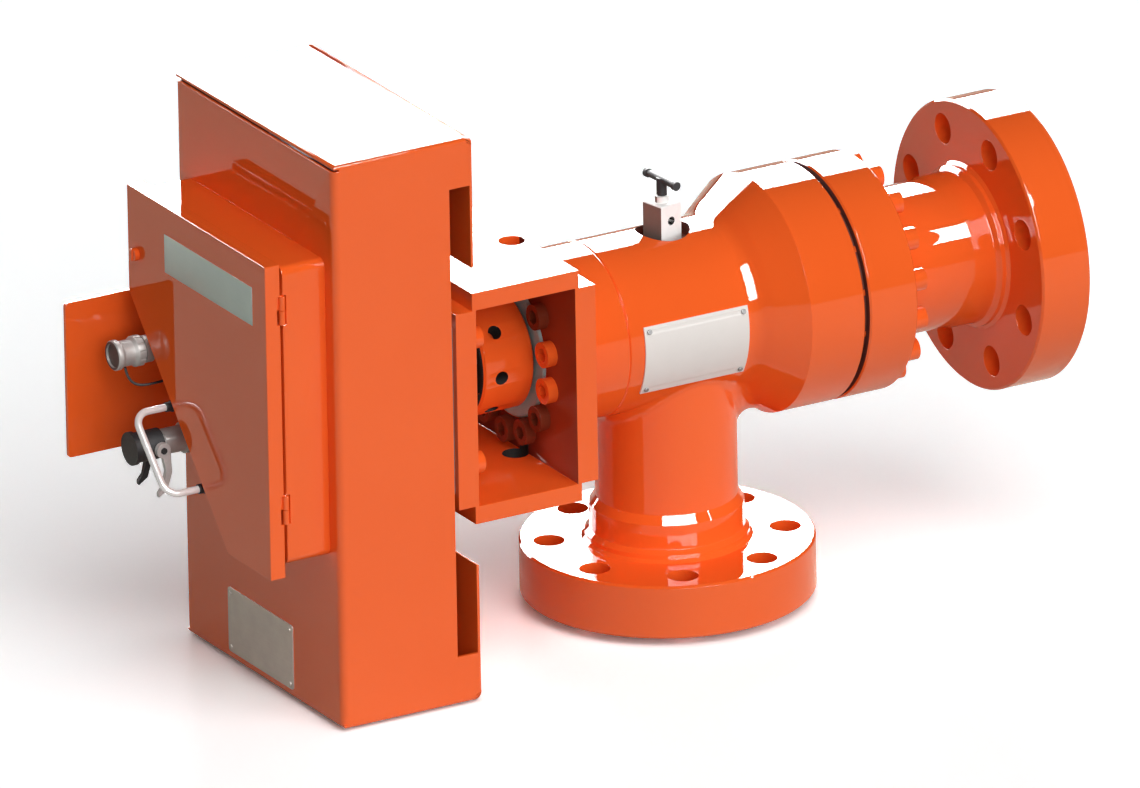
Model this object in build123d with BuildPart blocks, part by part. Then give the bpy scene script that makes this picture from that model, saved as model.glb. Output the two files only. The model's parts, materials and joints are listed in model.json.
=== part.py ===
"""Rotating-plate choke valve with an electric drive cabinet.

Millimetres, Z up. The origin is the centre of the inlet flange face, which stands on the
ground. X runs along the pipe, towards the outlet. The valve turns about the pipe axis.
"""
import os
from math import atan, cos, degrees, pi, radians, sin, tan

from build123d import *

os.makedirs("parts", exist_ok=True)

# Clearances
slip = 0.05
running = 0.1
thread_gap = 0.05
sheet_gap = 0.5

# Both pipe flanges: size 3 1/16, 10,000 psi class, with a raised face
flange_d = 270.0
flange_thick = 58.3
raised_face_d = 152.0
raised_face = 7.5
bolt_circle_d = 215.9
bolt_hole_d = 28.6
bolt_count = 8
bolt_start = 22.5
bore_d = 78.0
ring_groove_d = 119.6
ring_groove_w = 14.4
ring_groove_deep = 7.5
hub_ring_r = 75.0
hub_ring_len = 11.0
hub_band_r = 70.5
hub_band_len = 34.0
rim_break = 2.0

# Body
pipe_z = 273.0
barrel_r = 81.0
barrel_left = -81.0
cone_left = 48.0
cone_right = 91.0
cone_blend_in = 6.0
cone_blend_out = 16.0
big_r = 111.0
body_right = 147.0
chamber_r = 50.0
inlet_neck_r = 65.0
neck_fillet = 16.0

# Outlet spool
groove_gap = 5.0
spool_pad_r = 103.0
spool_flange_thick = 50.0
spool_neck_r = 68.5
outlet_face_x = 377.0
sleeve_wall = 5.0
sleeve_len = 118.0
spool_screw_count = 16
spool_screw_circle_r = 96.0

# Fasteners
screw_r = 7.0
screw_head_r = 10.5
screw_head_len = 14.0
socket_af = 12.0
socket_deep = 7.0
tap_deep = 26.0

# Bonnet, gland and stem
bonnet_len = 59.0
spigot_len = 23.0
stem_r = 16.0
packing_r = 24.0
packing_len = 36.0
packing_rings = 4
bonnet_flange_r = 90.5
bonnet_flange_thick = 12.0
bonnet_screw_count = 14
bonnet_screw_circle_r = 78.5
bonnet_head_r = 12.0
bonnet_head_len = 10.0
gland_r = 66.0
gland_gap = 0.5
gland_face_x = -163.0
collar_r = 30.0
collar_len = 9.0
washer_thick = 2.0
seal_w = 5.0
seal_deep = 4.0

# Throttling plates and fork
plate_r = 46.0
plate_thick = 14.0
plate_lap = 0.1
fixed_plate_x = 104.0
port_r = 36.0
port_web = 5.0
fork_w = 22.0
fork_inner_r = 40.0
fork_outer_r = 47.0
fork_bar_x = 42.0
fork_bar_thick = 14.0
fork_reach = 7.0
fork_square = 18.0

# Yoke
yoke_right_x = -140.0
yoke_plate = 21.0
yoke_window = 102.5
yoke_half_w = 122.0
yoke_half_h = 94.0
yoke_skin = 17.0
yoke_skin_lap = 4.0
yoke_hole_d = 24.0
yoke_hole_from_right = 30.0
yoke_hole_y = -24.0
yoke_pilot_r = 44.0
drive_screw_y = 101.0
drive_screw_z = 60.0

# Coupling hub and output shaft
hub_r = 55.0
hub_left = -218.0
hub_right = -166.0
hub_recess_r = 49.0
hub_recess = 12.0
shaft_r = 20.0
shaft_end_x = -194.0
tommy_d = 13.0
tommy_count = 8
tommy_deep = 18.0
tommy_start = -6.0
key_w = 10.0

# Worm drive
gear_x = -342.0
gear_module = 3.0
gear_teeth = 40
gear_width = 22.0
worm_starts = 2
worm_pitch_r = 18.0
worm_len = 56.0
worm_shaft_r = 10.0
backlash = 0.5
bearing_outer_r = 34.0
bearing_w = 14.0
worm_bearing_r = 17.0
worm_bearing_w = 9.0

# Gear housing
housing_wall = 8.0
housing_left = -400.0
housing_half_h = 76.0
housing_far_y = 112.0
housing_near_y = -76.0
housing_flange_half_w = 116.0
housing_flange_half_h = 88.0
housing_flange_thick = 12.0
front_wall_x = -316.0
motor_r = 42.0
motor_len = 128.0
rotor_r = 25.0
sensor_r = 24.0
sensor_len = 12.0

# Cabinet
cab_front = -420.3
cab_rear = -275.8
cab_half_w = 143.5
cab_bottom = 2.7
cab_top = 543.2
cab_sheet = 3.0
cab_cap_sheet = 4.0
cab_bend = 7.0
cab_slot_bottom = 48.0
cab_slot_top = 497.0
cab_slot_deep = 25.0
rear_open_bottom = 133.0
rear_open_top = 418.0

# Control box and its door
box_near_y = -126.5
box_far_y = 124.5
box_bottom = 165.0
box_top = 449.5
box_kink_z = 352.0
box_kink_y = -47.0
box_mouth_x = -464.0
box_sheet = 2.5
box_bend = 8.0
rim_x = -476.0
rim_inset = 7.0
rim_sheet = 2.0
door_near_y = -127.0
door_far_y = 125.0
door_bottom = 154.0
door_top = 454.0
door_kink_z = 351.0
door_kink_y = -48.0
door_front_x = -482.0
door_edge_x = -467.0
door_sheet = 2.0
hinge_x = -464.5
hinge_y = -125.5
hinge_r = 3.0
hinge_pin_r = 1.5
hinge_lows = (396.0, 205.0)
hinge_half = 27.0
latch_y = 109.0
latch_z = 392.0

# Guard, handle and connectors on the cabinet front
guard_front_x = -538.0
guard_rear_x = -376.0
guard_bottom = 195.0
guard_top = 344.0
guard_sheet = 4.0
handle_r = 3.4
handle_out_x = -514.0
handle_start_x = -482.0
handle_bend = 14.0
handle_ends = ((63.0, 259.0), (5.0, 199.0))
standoff_r = 5.5
upper_from_side = 31.5
upper_z = 298.0
upper_end_x = -508.0
lower_from_side = 63.5
lower_z = 219.0
lower_end_x = -510.0
lever_x = -486.0
lever_off = 16.0

# Bleed valve
recess_r = 25.0
recess_floor_z = 342.0
bleed_side = 24.5
bleed_turn = 12.5
bleed_top_z = 380.0
bleed_thread_r = 10.0
bleed_stem_r = 3.0
bleed_nut_r = 4.8
handle_bar_z = 401.0
handle_bar_len = 48.0
handle_bar_r = 3.3
handle_bar_turn = 5.0

# Plates
body_plate_left = -66.0
body_plate_right = 42.0
body_plate_low = -32.0
body_plate_high = 16.5
plate_sheet = 1.4
rivet_r = 2.4

# Values that follow from the ones above
rim_bottom = raised_face
rim_top = flange_thick
bonnet_left = barrel_left - bonnet_len
bonnet_flange_x = bonnet_left - bonnet_flange_thick
spool_left = body_right
spool_rim_left = body_right + groove_gap
spool_rim_right = spool_rim_left + spool_flange_thick
outlet_rim_right = outlet_face_x - raised_face
outlet_rim_left = outlet_face_x - flange_thick
upper_y = cab_half_w - upper_from_side
lower_y = cab_half_w - lower_from_side
yoke_right_inner = yoke_right_x - yoke_plate
yoke_left_inner = yoke_right_inner - yoke_window
yoke_left_x = yoke_left_inner - yoke_plate
gear_pitch_r = gear_module * gear_teeth / 2
worm_y = gear_pitch_r + worm_pitch_r
worm_lead = pi * gear_module * worm_starts
worm_angle = degrees(atan(worm_lead / (2 * pi * worm_pitch_r)))
rotating_plate_x = fixed_plate_x - plate_lap - plate_thick
nose_x = fixed_plate_x + plate_thick + 12.0
pipe_axis = Axis((0, 0, pipe_z), (1, 0, 0))
inlet_axis = Axis((0, 0, 0), (0, 0, 1))


def across(x):
    """Plane square to the pipe at station x, with its origin on the pipe axis."""
    return Plane(origin=(x, 0, pipe_z), x_dir=(0, 1, 0), z_dir=(1, 0, 0))


def standing(x):
    """Plane square to the pipe at station x, with its origin at ground level."""
    return Plane(origin=(x, 0, 0), x_dir=(0, 1, 0), z_dir=(1, 0, 0))


along = Plane(origin=(0, 0, pipe_z), x_dir=(1, 0, 0), z_dir=(0, -1, 0))
upright = Plane.XZ


def save(part, name):
    """Label one sub-part and write it to its own file."""
    part.label = name
    export_step(part, f"parts/{name}.step")


def ring(left, right, outer, inner, name):
    """Turned ring about the pipe axis."""
    with BuildPart() as piece:
        with BuildSketch(across(left)):
            Circle(outer)
            Circle(inner, mode=Mode.SUBTRACT)
        extrude(amount=right - left)
    save(piece.part, name)


def flange_side(face, inward):
    """Half profile of a pipe flange and hub: (distance along its bore, radius) pairs.

    face is where the raised face lies and inward is +1 or -1, the way to the neck.
    """
    hub = flange_thick + hub_ring_len
    band = flange_thick + hub_band_len
    pairs = [
        (0.0, raised_face_d / 2),
        (raised_face, raised_face_d / 2),
        (raised_face, flange_d / 2 - rim_break),
        (raised_face + rim_break, flange_d / 2),
        (flange_thick - rim_break, flange_d / 2),
        (flange_thick, flange_d / 2 - rim_break),
        (flange_thick, hub_ring_r + 3.0),
        (flange_thick + 3.0, hub_ring_r),
        (hub - 4.0, hub_ring_r),
        (hub, hub_ring_r - 4.0),
        (hub + 4.0, hub_band_r),
        (band, hub_band_r),
    ]
    return [(face + inward * d, r) for d, r in pairs]


def choke_body():
    with BuildPart() as body:
        with BuildSketch(along):
            with BuildLine():
                slope = (big_r - barrel_r) / (cone_right - cone_left)
                barrel = Polyline(
                    (barrel_left, 0),
                    (barrel_left, barrel_r - 1),
                    (barrel_left + 1, barrel_r),
                    (cone_left - cone_blend_in, barrel_r),
                )
                cone_start = (cone_left + cone_blend_out, barrel_r + slope * cone_blend_out)
                cone = Line(cone_start, (cone_right, big_r))
                Spline(barrel @ 1, cone @ 0, tangents=[(1, 0), (1, slope)])
                Polyline(
                    cone @ 1,
                    (body_right - 1.5, big_r),
                    (body_right, big_r - 1.5),
                    (body_right, 0),
                    (barrel_left, 0),
                )
            make_face()
        revolve(axis=pipe_axis)
        with BuildSketch(Plane.XY.offset(flange_thick + hub_band_len)):
            Circle(inlet_neck_r)
        extrude(until=Until.NEXT)
        crossing = body.edges().filter_by(GeomType.BSPLINE)
        fillet(crossing, neck_fillet)
        side = flange_side(0.0, 1)
        neck = (side[-1][0] + 8.0, inlet_neck_r)
        with BuildSketch(upright):
            with BuildLine():
                Polyline((0, 0), *[(r, z) for z, r in side], neck[::-1], (0, neck[0]), close=True)
            make_face()
        revolve(axis=inlet_axis)
        # bolt holes
        with BuildSketch(Plane.XY.offset(raised_face)):
            with PolarLocations(bolt_circle_d / 2, bolt_count, start_angle=bolt_start):
                Circle(bolt_hole_d / 2)
        extrude(amount=flange_thick - raised_face, mode=Mode.SUBTRACT)
        # ring groove and inlet bore
        with BuildSketch(Plane.XY):
            Circle(ring_groove_d / 2)
            Circle(ring_groove_d / 2 - ring_groove_w, mode=Mode.SUBTRACT)
        extrude(amount=ring_groove_deep, mode=Mode.SUBTRACT)
        with BuildSketch(Plane.XY):
            Circle(bore_d / 2)
        extrude(amount=pipe_z, mode=Mode.SUBTRACT)
        # chamber, open at both ends of the barrel
        with BuildSketch(across(barrel_left)):
            Circle(chamber_r)
        extrude(amount=body_right - barrel_left, mode=Mode.SUBTRACT)
        # tapped holes for the spool
        with BuildSketch(across(body_right)):
            with PolarLocations(spool_screw_circle_r, spool_screw_count, start_angle=180 / spool_screw_count):
                Circle(screw_r + thread_gap)
        extrude(amount=-tap_deep, mode=Mode.SUBTRACT)
        # spot face and port for the bleed valve
        with BuildSketch(Plane.XY.offset(recess_floor_z)):
            Circle(recess_r)
        extrude(amount=2 * recess_r, mode=Mode.SUBTRACT)
        with BuildSketch(Plane.XY.offset(pipe_z)):
            Circle(bleed_thread_r + thread_gap)
        extrude(amount=recess_floor_z - pipe_z, mode=Mode.SUBTRACT)
    save(body.part, "choke_body")


def outlet_spool():
    side = flange_side(outlet_face_x, -1)
    sleeve_right = nose_x + sleeve_len
    with BuildPart() as spool:
        with BuildSketch(along):
            with BuildLine():
                Polyline(
                    (nose_x, 0),
                    (nose_x, chamber_r - slip),
                    (spool_left, chamber_r - slip),
                    (spool_left, spool_pad_r),
                    (spool_rim_left, spool_pad_r),
                    (spool_rim_left, big_r - 1.5),
                    (spool_rim_left + 1.5, big_r),
                    (spool_rim_right - 1.5, big_r),
                    (spool_rim_right, big_r - 1.5),
                    (spool_rim_right, spool_neck_r + 6),
                    (spool_rim_right + 6, spool_neck_r),
                    (side[-1][0] - 4, spool_neck_r),
                    *reversed(side),
                    (outlet_face_x, 0),
                    close=True,
                )
            make_face()
        revolve(axis=pipe_axis)
        with BuildSketch(across(nose_x)):
            Circle(bore_d / 2)
        extrude(amount=outlet_face_x - nose_x, mode=Mode.SUBTRACT)
        with BuildSketch(across(nose_x)):
            Circle(bore_d / 2 + sleeve_wall)
        extrude(amount=sleeve_right - nose_x, mode=Mode.SUBTRACT)
        with BuildSketch(across(spool_left)):
            with PolarLocations(spool_screw_circle_r, spool_screw_count, start_angle=180 / spool_screw_count):
                Circle(screw_r + 0.5)
        extrude(amount=spool_rim_right - spool_left, mode=Mode.SUBTRACT)
        with BuildSketch(across(outlet_rim_left)):
            with PolarLocations(bolt_circle_d / 2, bolt_count, start_angle=bolt_start):
                Circle(bolt_hole_d / 2)
        extrude(amount=outlet_rim_right - outlet_rim_left, mode=Mode.SUBTRACT)
        with BuildSketch(across(outlet_face_x)):
            Circle(ring_groove_d / 2)
            Circle(ring_groove_d / 2 - ring_groove_w, mode=Mode.SUBTRACT)
        extrude(amount=-ring_groove_deep, mode=Mode.SUBTRACT)
        # groove for the nose seal
        with BuildSketch(across(nose_x + 5)):
            Circle(chamber_r)
            Circle(chamber_r - seal_deep, mode=Mode.SUBTRACT)
        extrude(amount=seal_w, mode=Mode.SUBTRACT)
    save(spool.part, "outlet_spool")


def cap_screws(seat_x, length, circle_r, count, way, head_r, head_len, name):
    """Group of socket head cap screws on a circle about the pipe axis, pointing the way of their shanks."""
    start = 180 / count
    with BuildPart() as screws:
        with BuildSketch(across(seat_x)):
            with PolarLocations(circle_r, count, start_angle=start):
                Circle(screw_r)
        extrude(amount=way * length)
        with BuildSketch(across(seat_x)):
            with PolarLocations(circle_r, count, start_angle=start):
                Circle(head_r)
        extrude(amount=-way * head_len)
        with BuildSketch(across(seat_x - way * head_len)):
            with PolarLocations(circle_r, count, start_angle=start):
                RegularPolygon(socket_af / 2, 6, major_radius=False)
        extrude(amount=way * socket_deep, mode=Mode.SUBTRACT)
    save(screws.part, name)


def bonnet():
    """Cover with a spigot screwed into the barrel and a flange let into the back of the yoke."""
    right = barrel_left + spigot_len
    with BuildPart() as piece:
        with BuildSketch(along):
            with BuildLine():
                Polyline(
                    (bonnet_left, 0),
                    (bonnet_left, gland_r + gland_gap),
                    (bonnet_flange_x, gland_r + gland_gap),
                    (bonnet_flange_x, bonnet_flange_r),
                    (bonnet_left, bonnet_flange_r),
                    (bonnet_left, barrel_r),
                    (barrel_left - 1, barrel_r),
                    (barrel_left, barrel_r - 1),
                    (barrel_left, chamber_r - slip),
                    (right, chamber_r - slip),
                    (right, 0),
                    close=True,
                )
            make_face()
        revolve(axis=pipe_axis)
        with BuildSketch(across(bonnet_left)):
            Circle(stem_r + running)
        extrude(amount=right - bonnet_left, mode=Mode.SUBTRACT)
        with BuildSketch(across(bonnet_left)):
            Circle(packing_r)
        extrude(amount=packing_len + 16, mode=Mode.SUBTRACT)
        with BuildSketch(across(bonnet_flange_x)):
            with PolarLocations(bonnet_screw_circle_r, bonnet_screw_count, start_angle=180 / bonnet_screw_count):
                Circle(screw_r + thread_gap)
        extrude(amount=bonnet_flange_thick - 1, mode=Mode.SUBTRACT)
        with BuildSketch(across(barrel_left + 8)):
            Circle(chamber_r)
            Circle(chamber_r - seal_deep, mode=Mode.SUBTRACT)
        extrude(amount=seal_w, mode=Mode.SUBTRACT)
    save(piece.part, "bonnet")


def seal_rings():
    with BuildPart() as seals:
        for left in (barrel_left + 8, nose_x + 5):
            with BuildSketch(across(left + slip)):
                Circle(chamber_r)
                Circle(chamber_r - seal_deep + slip, mode=Mode.SUBTRACT)
            extrude(amount=seal_w - 2 * slip)
    save(seals.part, "chamber_seals")


def gland_retainer():
    reach = bonnet_left + 16
    with BuildPart() as gland:
        with BuildSketch(along):
            with BuildLine():
                Polyline(
                    (gland_face_x, 0),
                    (gland_face_x, gland_r - 2),
                    (gland_face_x + 2, gland_r),
                    (bonnet_left, gland_r),
                    (bonnet_left, packing_r - slip),
                    (reach, packing_r - slip),
                    (reach, 0),
                    close=True,
                )
            make_face()
        revolve(axis=pipe_axis)
        with BuildSketch(across(gland_face_x)):
            Circle(stem_r + running)
        extrude(amount=reach - gland_face_x, mode=Mode.SUBTRACT)
    save(gland.part, "gland_retainer")


def stem_packing():
    pitch = packing_len / packing_rings
    left = bonnet_left + 16
    with BuildPart() as packing:
        for index in range(packing_rings):
            with BuildSketch(across(left + index * pitch + slip)):
                Circle(packing_r - slip)
                Circle(stem_r + slip, mode=Mode.SUBTRACT)
            extrude(amount=pitch - 2 * slip)
    save(packing.part, "stem_packing")


def choke_stem():
    collar_left = barrel_left + spigot_len + washer_thick + running
    with BuildPart() as stem:
        with BuildSketch(across(shaft_end_x + 0.5)):
            Circle(stem_r)
        extrude(amount=fork_bar_x - shaft_end_x - 0.5)
        with BuildSketch(across(collar_left)):
            Circle(collar_r)
        extrude(amount=collar_len)
        with BuildSketch(across(fork_bar_x)):
            Rectangle(fork_square, fork_square)
        extrude(amount=fork_bar_thick)
        # feather key in the hub
        with BuildSketch(across(shaft_end_x + 0.5)):
            with Locations((0, stem_r)):
                Rectangle(key_w, 8)
        extrude(amount=25)
    save(stem.part, "choke_stem")


def thrust_washer():
    left = barrel_left + spigot_len
    ring(left, left + washer_thick, collar_r, stem_r + running, "thrust_washer")


def drive_fork():
    """Bar on the stem with two arms that reach into the rim of the rotating plate."""
    with BuildPart() as fork:
        with BuildSketch(across(fork_bar_x)):
            Circle(fork_outer_r)
            Rectangle(2 * fork_outer_r, fork_w, mode=Mode.INTERSECT)
        extrude(amount=fork_bar_thick)
        with BuildSketch(across(fork_bar_x)):
            Circle(fork_outer_r)
            Rectangle(2 * fork_outer_r, fork_w, mode=Mode.INTERSECT)
            Rectangle(2 * fork_inner_r, fork_w, mode=Mode.SUBTRACT)
        extrude(amount=rotating_plate_x + fork_reach - fork_bar_x)
        with BuildSketch(across(fork_bar_x)):
            Rectangle(fork_square + 2 * slip, fork_square + 2 * slip)
        extrude(amount=fork_bar_thick, mode=Mode.SUBTRACT)
        with BuildSketch(across(fork_bar_x)):
            Circle(packing_r)
            Circle(stem_r + 2, mode=Mode.SUBTRACT)
        extrude(amount=-4)
    save(fork.part, "drive_fork")


def half_moon(x, half):
    """Half-moon port through a plate at station x: half is 1 above the web, -1 below it."""
    with BuildSketch(across(x)) as port:
        Circle(port_r)
        with Locations((0, half * (port_web - port_r))):
            Rectangle(2 * port_r, 2 * port_r, mode=Mode.SUBTRACT)
    extrude(port.sketch, amount=plate_thick, mode=Mode.SUBTRACT)


def throttling_plates():
    with BuildPart() as rotating:
        with BuildSketch(across(rotating_plate_x)):
            Circle(plate_r)
        extrude(amount=plate_thick)
        # turned half a turn from the fixed port, so the valve rests closed
        half_moon(rotating_plate_x, -1)
        with BuildSketch(across(rotating_plate_x)):
            with Locations((plate_r, 0), (-plate_r, 0)):
                Rectangle(2 * (plate_r - fork_inner_r) + 0.4, fork_w + 0.4)
        extrude(amount=fork_reach + 0.3, mode=Mode.SUBTRACT)
    save(rotating.part, "rotating_plate")
    with BuildPart() as fixed:
        with BuildSketch(across(fixed_plate_x)):
            Circle(plate_r)
        extrude(amount=plate_thick)
        half_moon(fixed_plate_x, 1)
    save(fixed.part, "fixed_plate")


def plate_carrier():
    back = fixed_plate_x + plate_thick
    with BuildPart() as carrier:
        with BuildSketch(across(fixed_plate_x)):
            Circle(chamber_r - slip)
        extrude(amount=nose_x - fixed_plate_x)
        with BuildSketch(across(fixed_plate_x)):
            Circle(plate_r + slip)
        extrude(amount=plate_thick, mode=Mode.SUBTRACT)
        with BuildSketch(across(back)):
            Circle(bore_d / 2)
        extrude(amount=nose_x - back, mode=Mode.SUBTRACT)
    save(carrier.part, "plate_carrier")


def wear_sleeve():
    outer = bore_d / 2 + sleeve_wall - slip
    ring(nose_x, nose_x + sleeve_len, outer, bore_d / 2, "wear_sleeve")


def yoke_frame():
    """Two thick end plates joined by a top and a bottom plate, open on both sides."""
    skin_left = yoke_left_inner - yoke_skin_lap
    skin_right = yoke_right_inner + yoke_skin_lap
    with BuildPart() as yoke:
        with BuildSketch(across(yoke_right_inner)):
            Rectangle(2 * yoke_half_w, 2 * yoke_half_h)
        extrude(amount=yoke_plate)
        with BuildSketch(across(yoke_left_x)):
            Rectangle(2 * yoke_half_w, 2 * yoke_half_h)
        extrude(amount=yoke_plate)
        for side in (1, -1):
            with BuildSketch(across(skin_left)):
                with Locations((0, side * (yoke_half_h + yoke_skin / 2))):
                    Rectangle(2 * yoke_half_w, yoke_skin)
            extrude(amount=skin_right - skin_left)
        with BuildSketch(across(yoke_right_inner)):
            Circle(gland_r + gland_gap)
            with PolarLocations(bonnet_screw_circle_r, bonnet_screw_count, start_angle=180 / bonnet_screw_count):
                Circle(screw_r + 0.5)
        extrude(amount=yoke_plate, mode=Mode.SUBTRACT)
        with BuildSketch(across(bonnet_flange_x)):
            Circle(bonnet_flange_r + 0.5)
        extrude(amount=yoke_right_x - bonnet_flange_x, mode=Mode.SUBTRACT)
        with BuildSketch(across(yoke_left_x)):
            Circle(yoke_pilot_r)
            with GridLocations(2 * drive_screw_y, 2 * drive_screw_z, 2, 2):
                Circle(screw_r + 0.5)
        extrude(amount=yoke_plate, mode=Mode.SUBTRACT)
        with BuildSketch(Plane.XY.offset(pipe_z - yoke_half_h - yoke_skin)):
            with Locations((yoke_right_x - yoke_hole_from_right, yoke_hole_y)):
                Circle(yoke_hole_d / 2)
        extrude(amount=2 * (yoke_half_h + yoke_skin), mode=Mode.SUBTRACT)
    save(yoke.part, "yoke_frame")


def drive_screws():
    with BuildPart() as screws:
        with BuildSketch(across(yoke_left_inner)):
            with GridLocations(2 * drive_screw_y, 2 * drive_screw_z, 2, 2):
                Circle(screw_r)
        extrude(amount=-(yoke_plate + housing_flange_thick - 1))
        with BuildSketch(across(yoke_left_inner)):
            with GridLocations(2 * drive_screw_y, 2 * drive_screw_z, 2, 2):
                Circle(screw_head_r)
        extrude(amount=screw_head_len)
        with BuildSketch(across(yoke_left_inner + screw_head_len)):
            with GridLocations(2 * drive_screw_y, 2 * drive_screw_z, 2, 2):
                RegularPolygon(socket_af / 2, 6, major_radius=False)
        extrude(amount=-socket_deep, mode=Mode.SUBTRACT)
    save(screws.part, "yoke_drive_screws")


def coupling_hub():
    with BuildPart() as hub:
        with BuildSketch(across(hub_left)):
            Circle(hub_r)
        extrude(amount=hub_right - hub_left)
        ends = hub.edges().filter_by(GeomType.CIRCLE).group_by(Axis.X)
        chamfer(ends[0] + ends[-1], 2)
        with BuildSketch(across(hub_left)):
            Circle(hub_recess_r)
        extrude(amount=hub_recess, mode=Mode.SUBTRACT)
        with BuildSketch(across(hub_left)):
            Circle(shaft_r + slip)
        extrude(amount=shaft_end_x - hub_left, mode=Mode.SUBTRACT)
        with BuildSketch(across(shaft_end_x)):
            Circle(stem_r + slip)
            with Locations((0, stem_r)):
                Rectangle(key_w + 2 * slip, 8 + 2 * slip)
        extrude(amount=hub_right - shaft_end_x, mode=Mode.SUBTRACT)
        tommy_x = hub_left + 18
        for index in range(tommy_count):
            angle = radians(tommy_start + index * 360 / tommy_count)
            spoke = Plane(
                origin=(tommy_x, -hub_r * cos(angle), pipe_z + hub_r * sin(angle)),
                x_dir=(1, 0, 0),
                z_dir=(0, -cos(angle), sin(angle)),
            )
            with BuildSketch(spoke.offset(2)):
                Circle(tommy_d / 2)
            extrude(amount=-tommy_deep - 2, mode=Mode.SUBTRACT)
    save(hub.part, "coupling_hub")


def output_shaft():
    with BuildPart() as shaft:
        with BuildSketch(across(housing_left + 8)):
            Circle(shaft_r)
        extrude(amount=shaft_end_x - 0.2 - housing_left - 8)
        with BuildSketch(across(housing_left + 2)):
            Circle(5)
        extrude(amount=6)
        with BuildSketch(across(gear_x + gear_width / 2 + 0.2)):
            Circle(shaft_r + 5)
        extrude(amount=6)
    save(shaft.part, "output_shaft")


def worm_wheel():
    """Wheel with teeth set at the lead angle of the worm."""
    root_r = gear_pitch_r - 1.2 * gear_module
    tip_r = gear_pitch_r + gear_module - 0.4
    half = gear_width / 2
    swing = degrees(half * tan(radians(worm_angle)) / gear_pitch_r)
    tooth_half = gear_module * pi / 4 - backlash / 2
    slope = tan(radians(20))
    with BuildPart() as wheel:
        with BuildSketch(across(gear_x - half)):
            Circle(root_r)
            Circle(shaft_r + slip, mode=Mode.SUBTRACT)
        extrude(amount=gear_width)
        for index in range(gear_teeth):
            turn = index * 360 / gear_teeth
            for side in (-1, 1):
                angle = radians(turn + side * swing)
                plane = Plane(
                    origin=(gear_x + side * half, 0, pipe_z),
                    x_dir=(0, cos(angle), sin(angle)),
                    z_dir=(1, 0, 0),
                )
                with BuildSketch(plane):
                    with BuildLine():
                        Polyline(
                            (root_r - 1, -tooth_half - slope * (gear_pitch_r - root_r)),
                            (tip_r, -tooth_half + slope * (tip_r - gear_pitch_r)),
                            (tip_r, tooth_half - slope * (tip_r - gear_pitch_r)),
                            (root_r - 1, tooth_half + slope * (gear_pitch_r - root_r)),
                            close=True,
                        )
                    make_face()
            loft(ruled=True)
        # lightening recess in each face
        for side in (-1, 1):
            with BuildSketch(across(gear_x + side * half)):
                Circle(root_r - 6)
                Circle(shaft_r + 10, mode=Mode.SUBTRACT)
            extrude(amount=-side * 5, mode=Mode.SUBTRACT)
    save(wheel.part, "worm_wheel")


def worm_shaft():
    """Worm with two starts, on a vertical shaft beside the wheel."""
    root_r = worm_pitch_r - 1.2 * gear_module
    tip_r = worm_pitch_r + gear_module - 0.4
    pitch = pi * gear_module
    half = pitch / 4 - backlash / 2
    slope = tan(radians(20))
    top = pipe_z + housing_half_h + motor_len - 22
    bottom = pipe_z - housing_half_h + housing_wall + 0.5
    centre = Plane(origin=(gear_x, worm_y, pipe_z))
    with BuildPart() as worm:
        with BuildSketch(centre.offset(bottom - pipe_z)):
            Circle(worm_shaft_r)
        extrude(amount=top - bottom)
        with BuildSketch(centre.offset(-worm_len / 2 - 5)):
            Circle(root_r)
        extrude(amount=worm_len + 10)
        # a gap of the worm faces the wheel at rest
        shift = (worm_len / 2 + pitch / 2 - 0.75 * worm_lead) % pitch
        for start in range(worm_starts):
            base = centre.offset(shift + start * pitch - worm_len / 2)
            with BuildLine(base):
                path = Helix(pitch=worm_lead, height=worm_len - worm_starts * pitch, radius=worm_pitch_r)
            with BuildSketch(Plane(origin=path @ 0, x_dir=base.x_dir, z_dir=path % 0)):
                with BuildLine():
                    Polyline(
                        (root_r - 1 - worm_pitch_r, -half - slope * (worm_pitch_r - root_r)),
                        (tip_r - worm_pitch_r, -half + slope * (tip_r - worm_pitch_r)),
                        (tip_r - worm_pitch_r, half - slope * (tip_r - worm_pitch_r)),
                        (root_r - 1 - worm_pitch_r, half + slope * (worm_pitch_r - root_r)),
                        close=True,
                    )
                make_face()
            sweep(path=path, is_frenet=True)
    save(worm.part, "worm_shaft")


def bar(left, right, near, far, low, high, mode=Mode.ADD):
    """Rectangular block between two stations, two sides and two heights."""
    with BuildSketch(standing(left)) as outline:
        with Locations(((near + far) / 2, (low + high) / 2)):
            Rectangle(far - near, high - low)
    extrude(outline.sketch, amount=right - left, mode=mode)


def rod(left, right, y, z, radius, mode=Mode.ADD):
    """Round bar along the pipe direction."""
    with BuildSketch(standing(left)) as outline:
        with Locations((y, z)):
            Circle(radius)
    extrude(outline.sketch, amount=right - left, mode=mode)


def post(low, high, x, y, radius, mode=Mode.ADD):
    """Upright round bar."""
    with BuildSketch(Plane.XY.offset(low)) as outline:
        with Locations((x, y)):
            Circle(radius)
    extrude(outline.sketch, amount=high - low, mode=mode)


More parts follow.
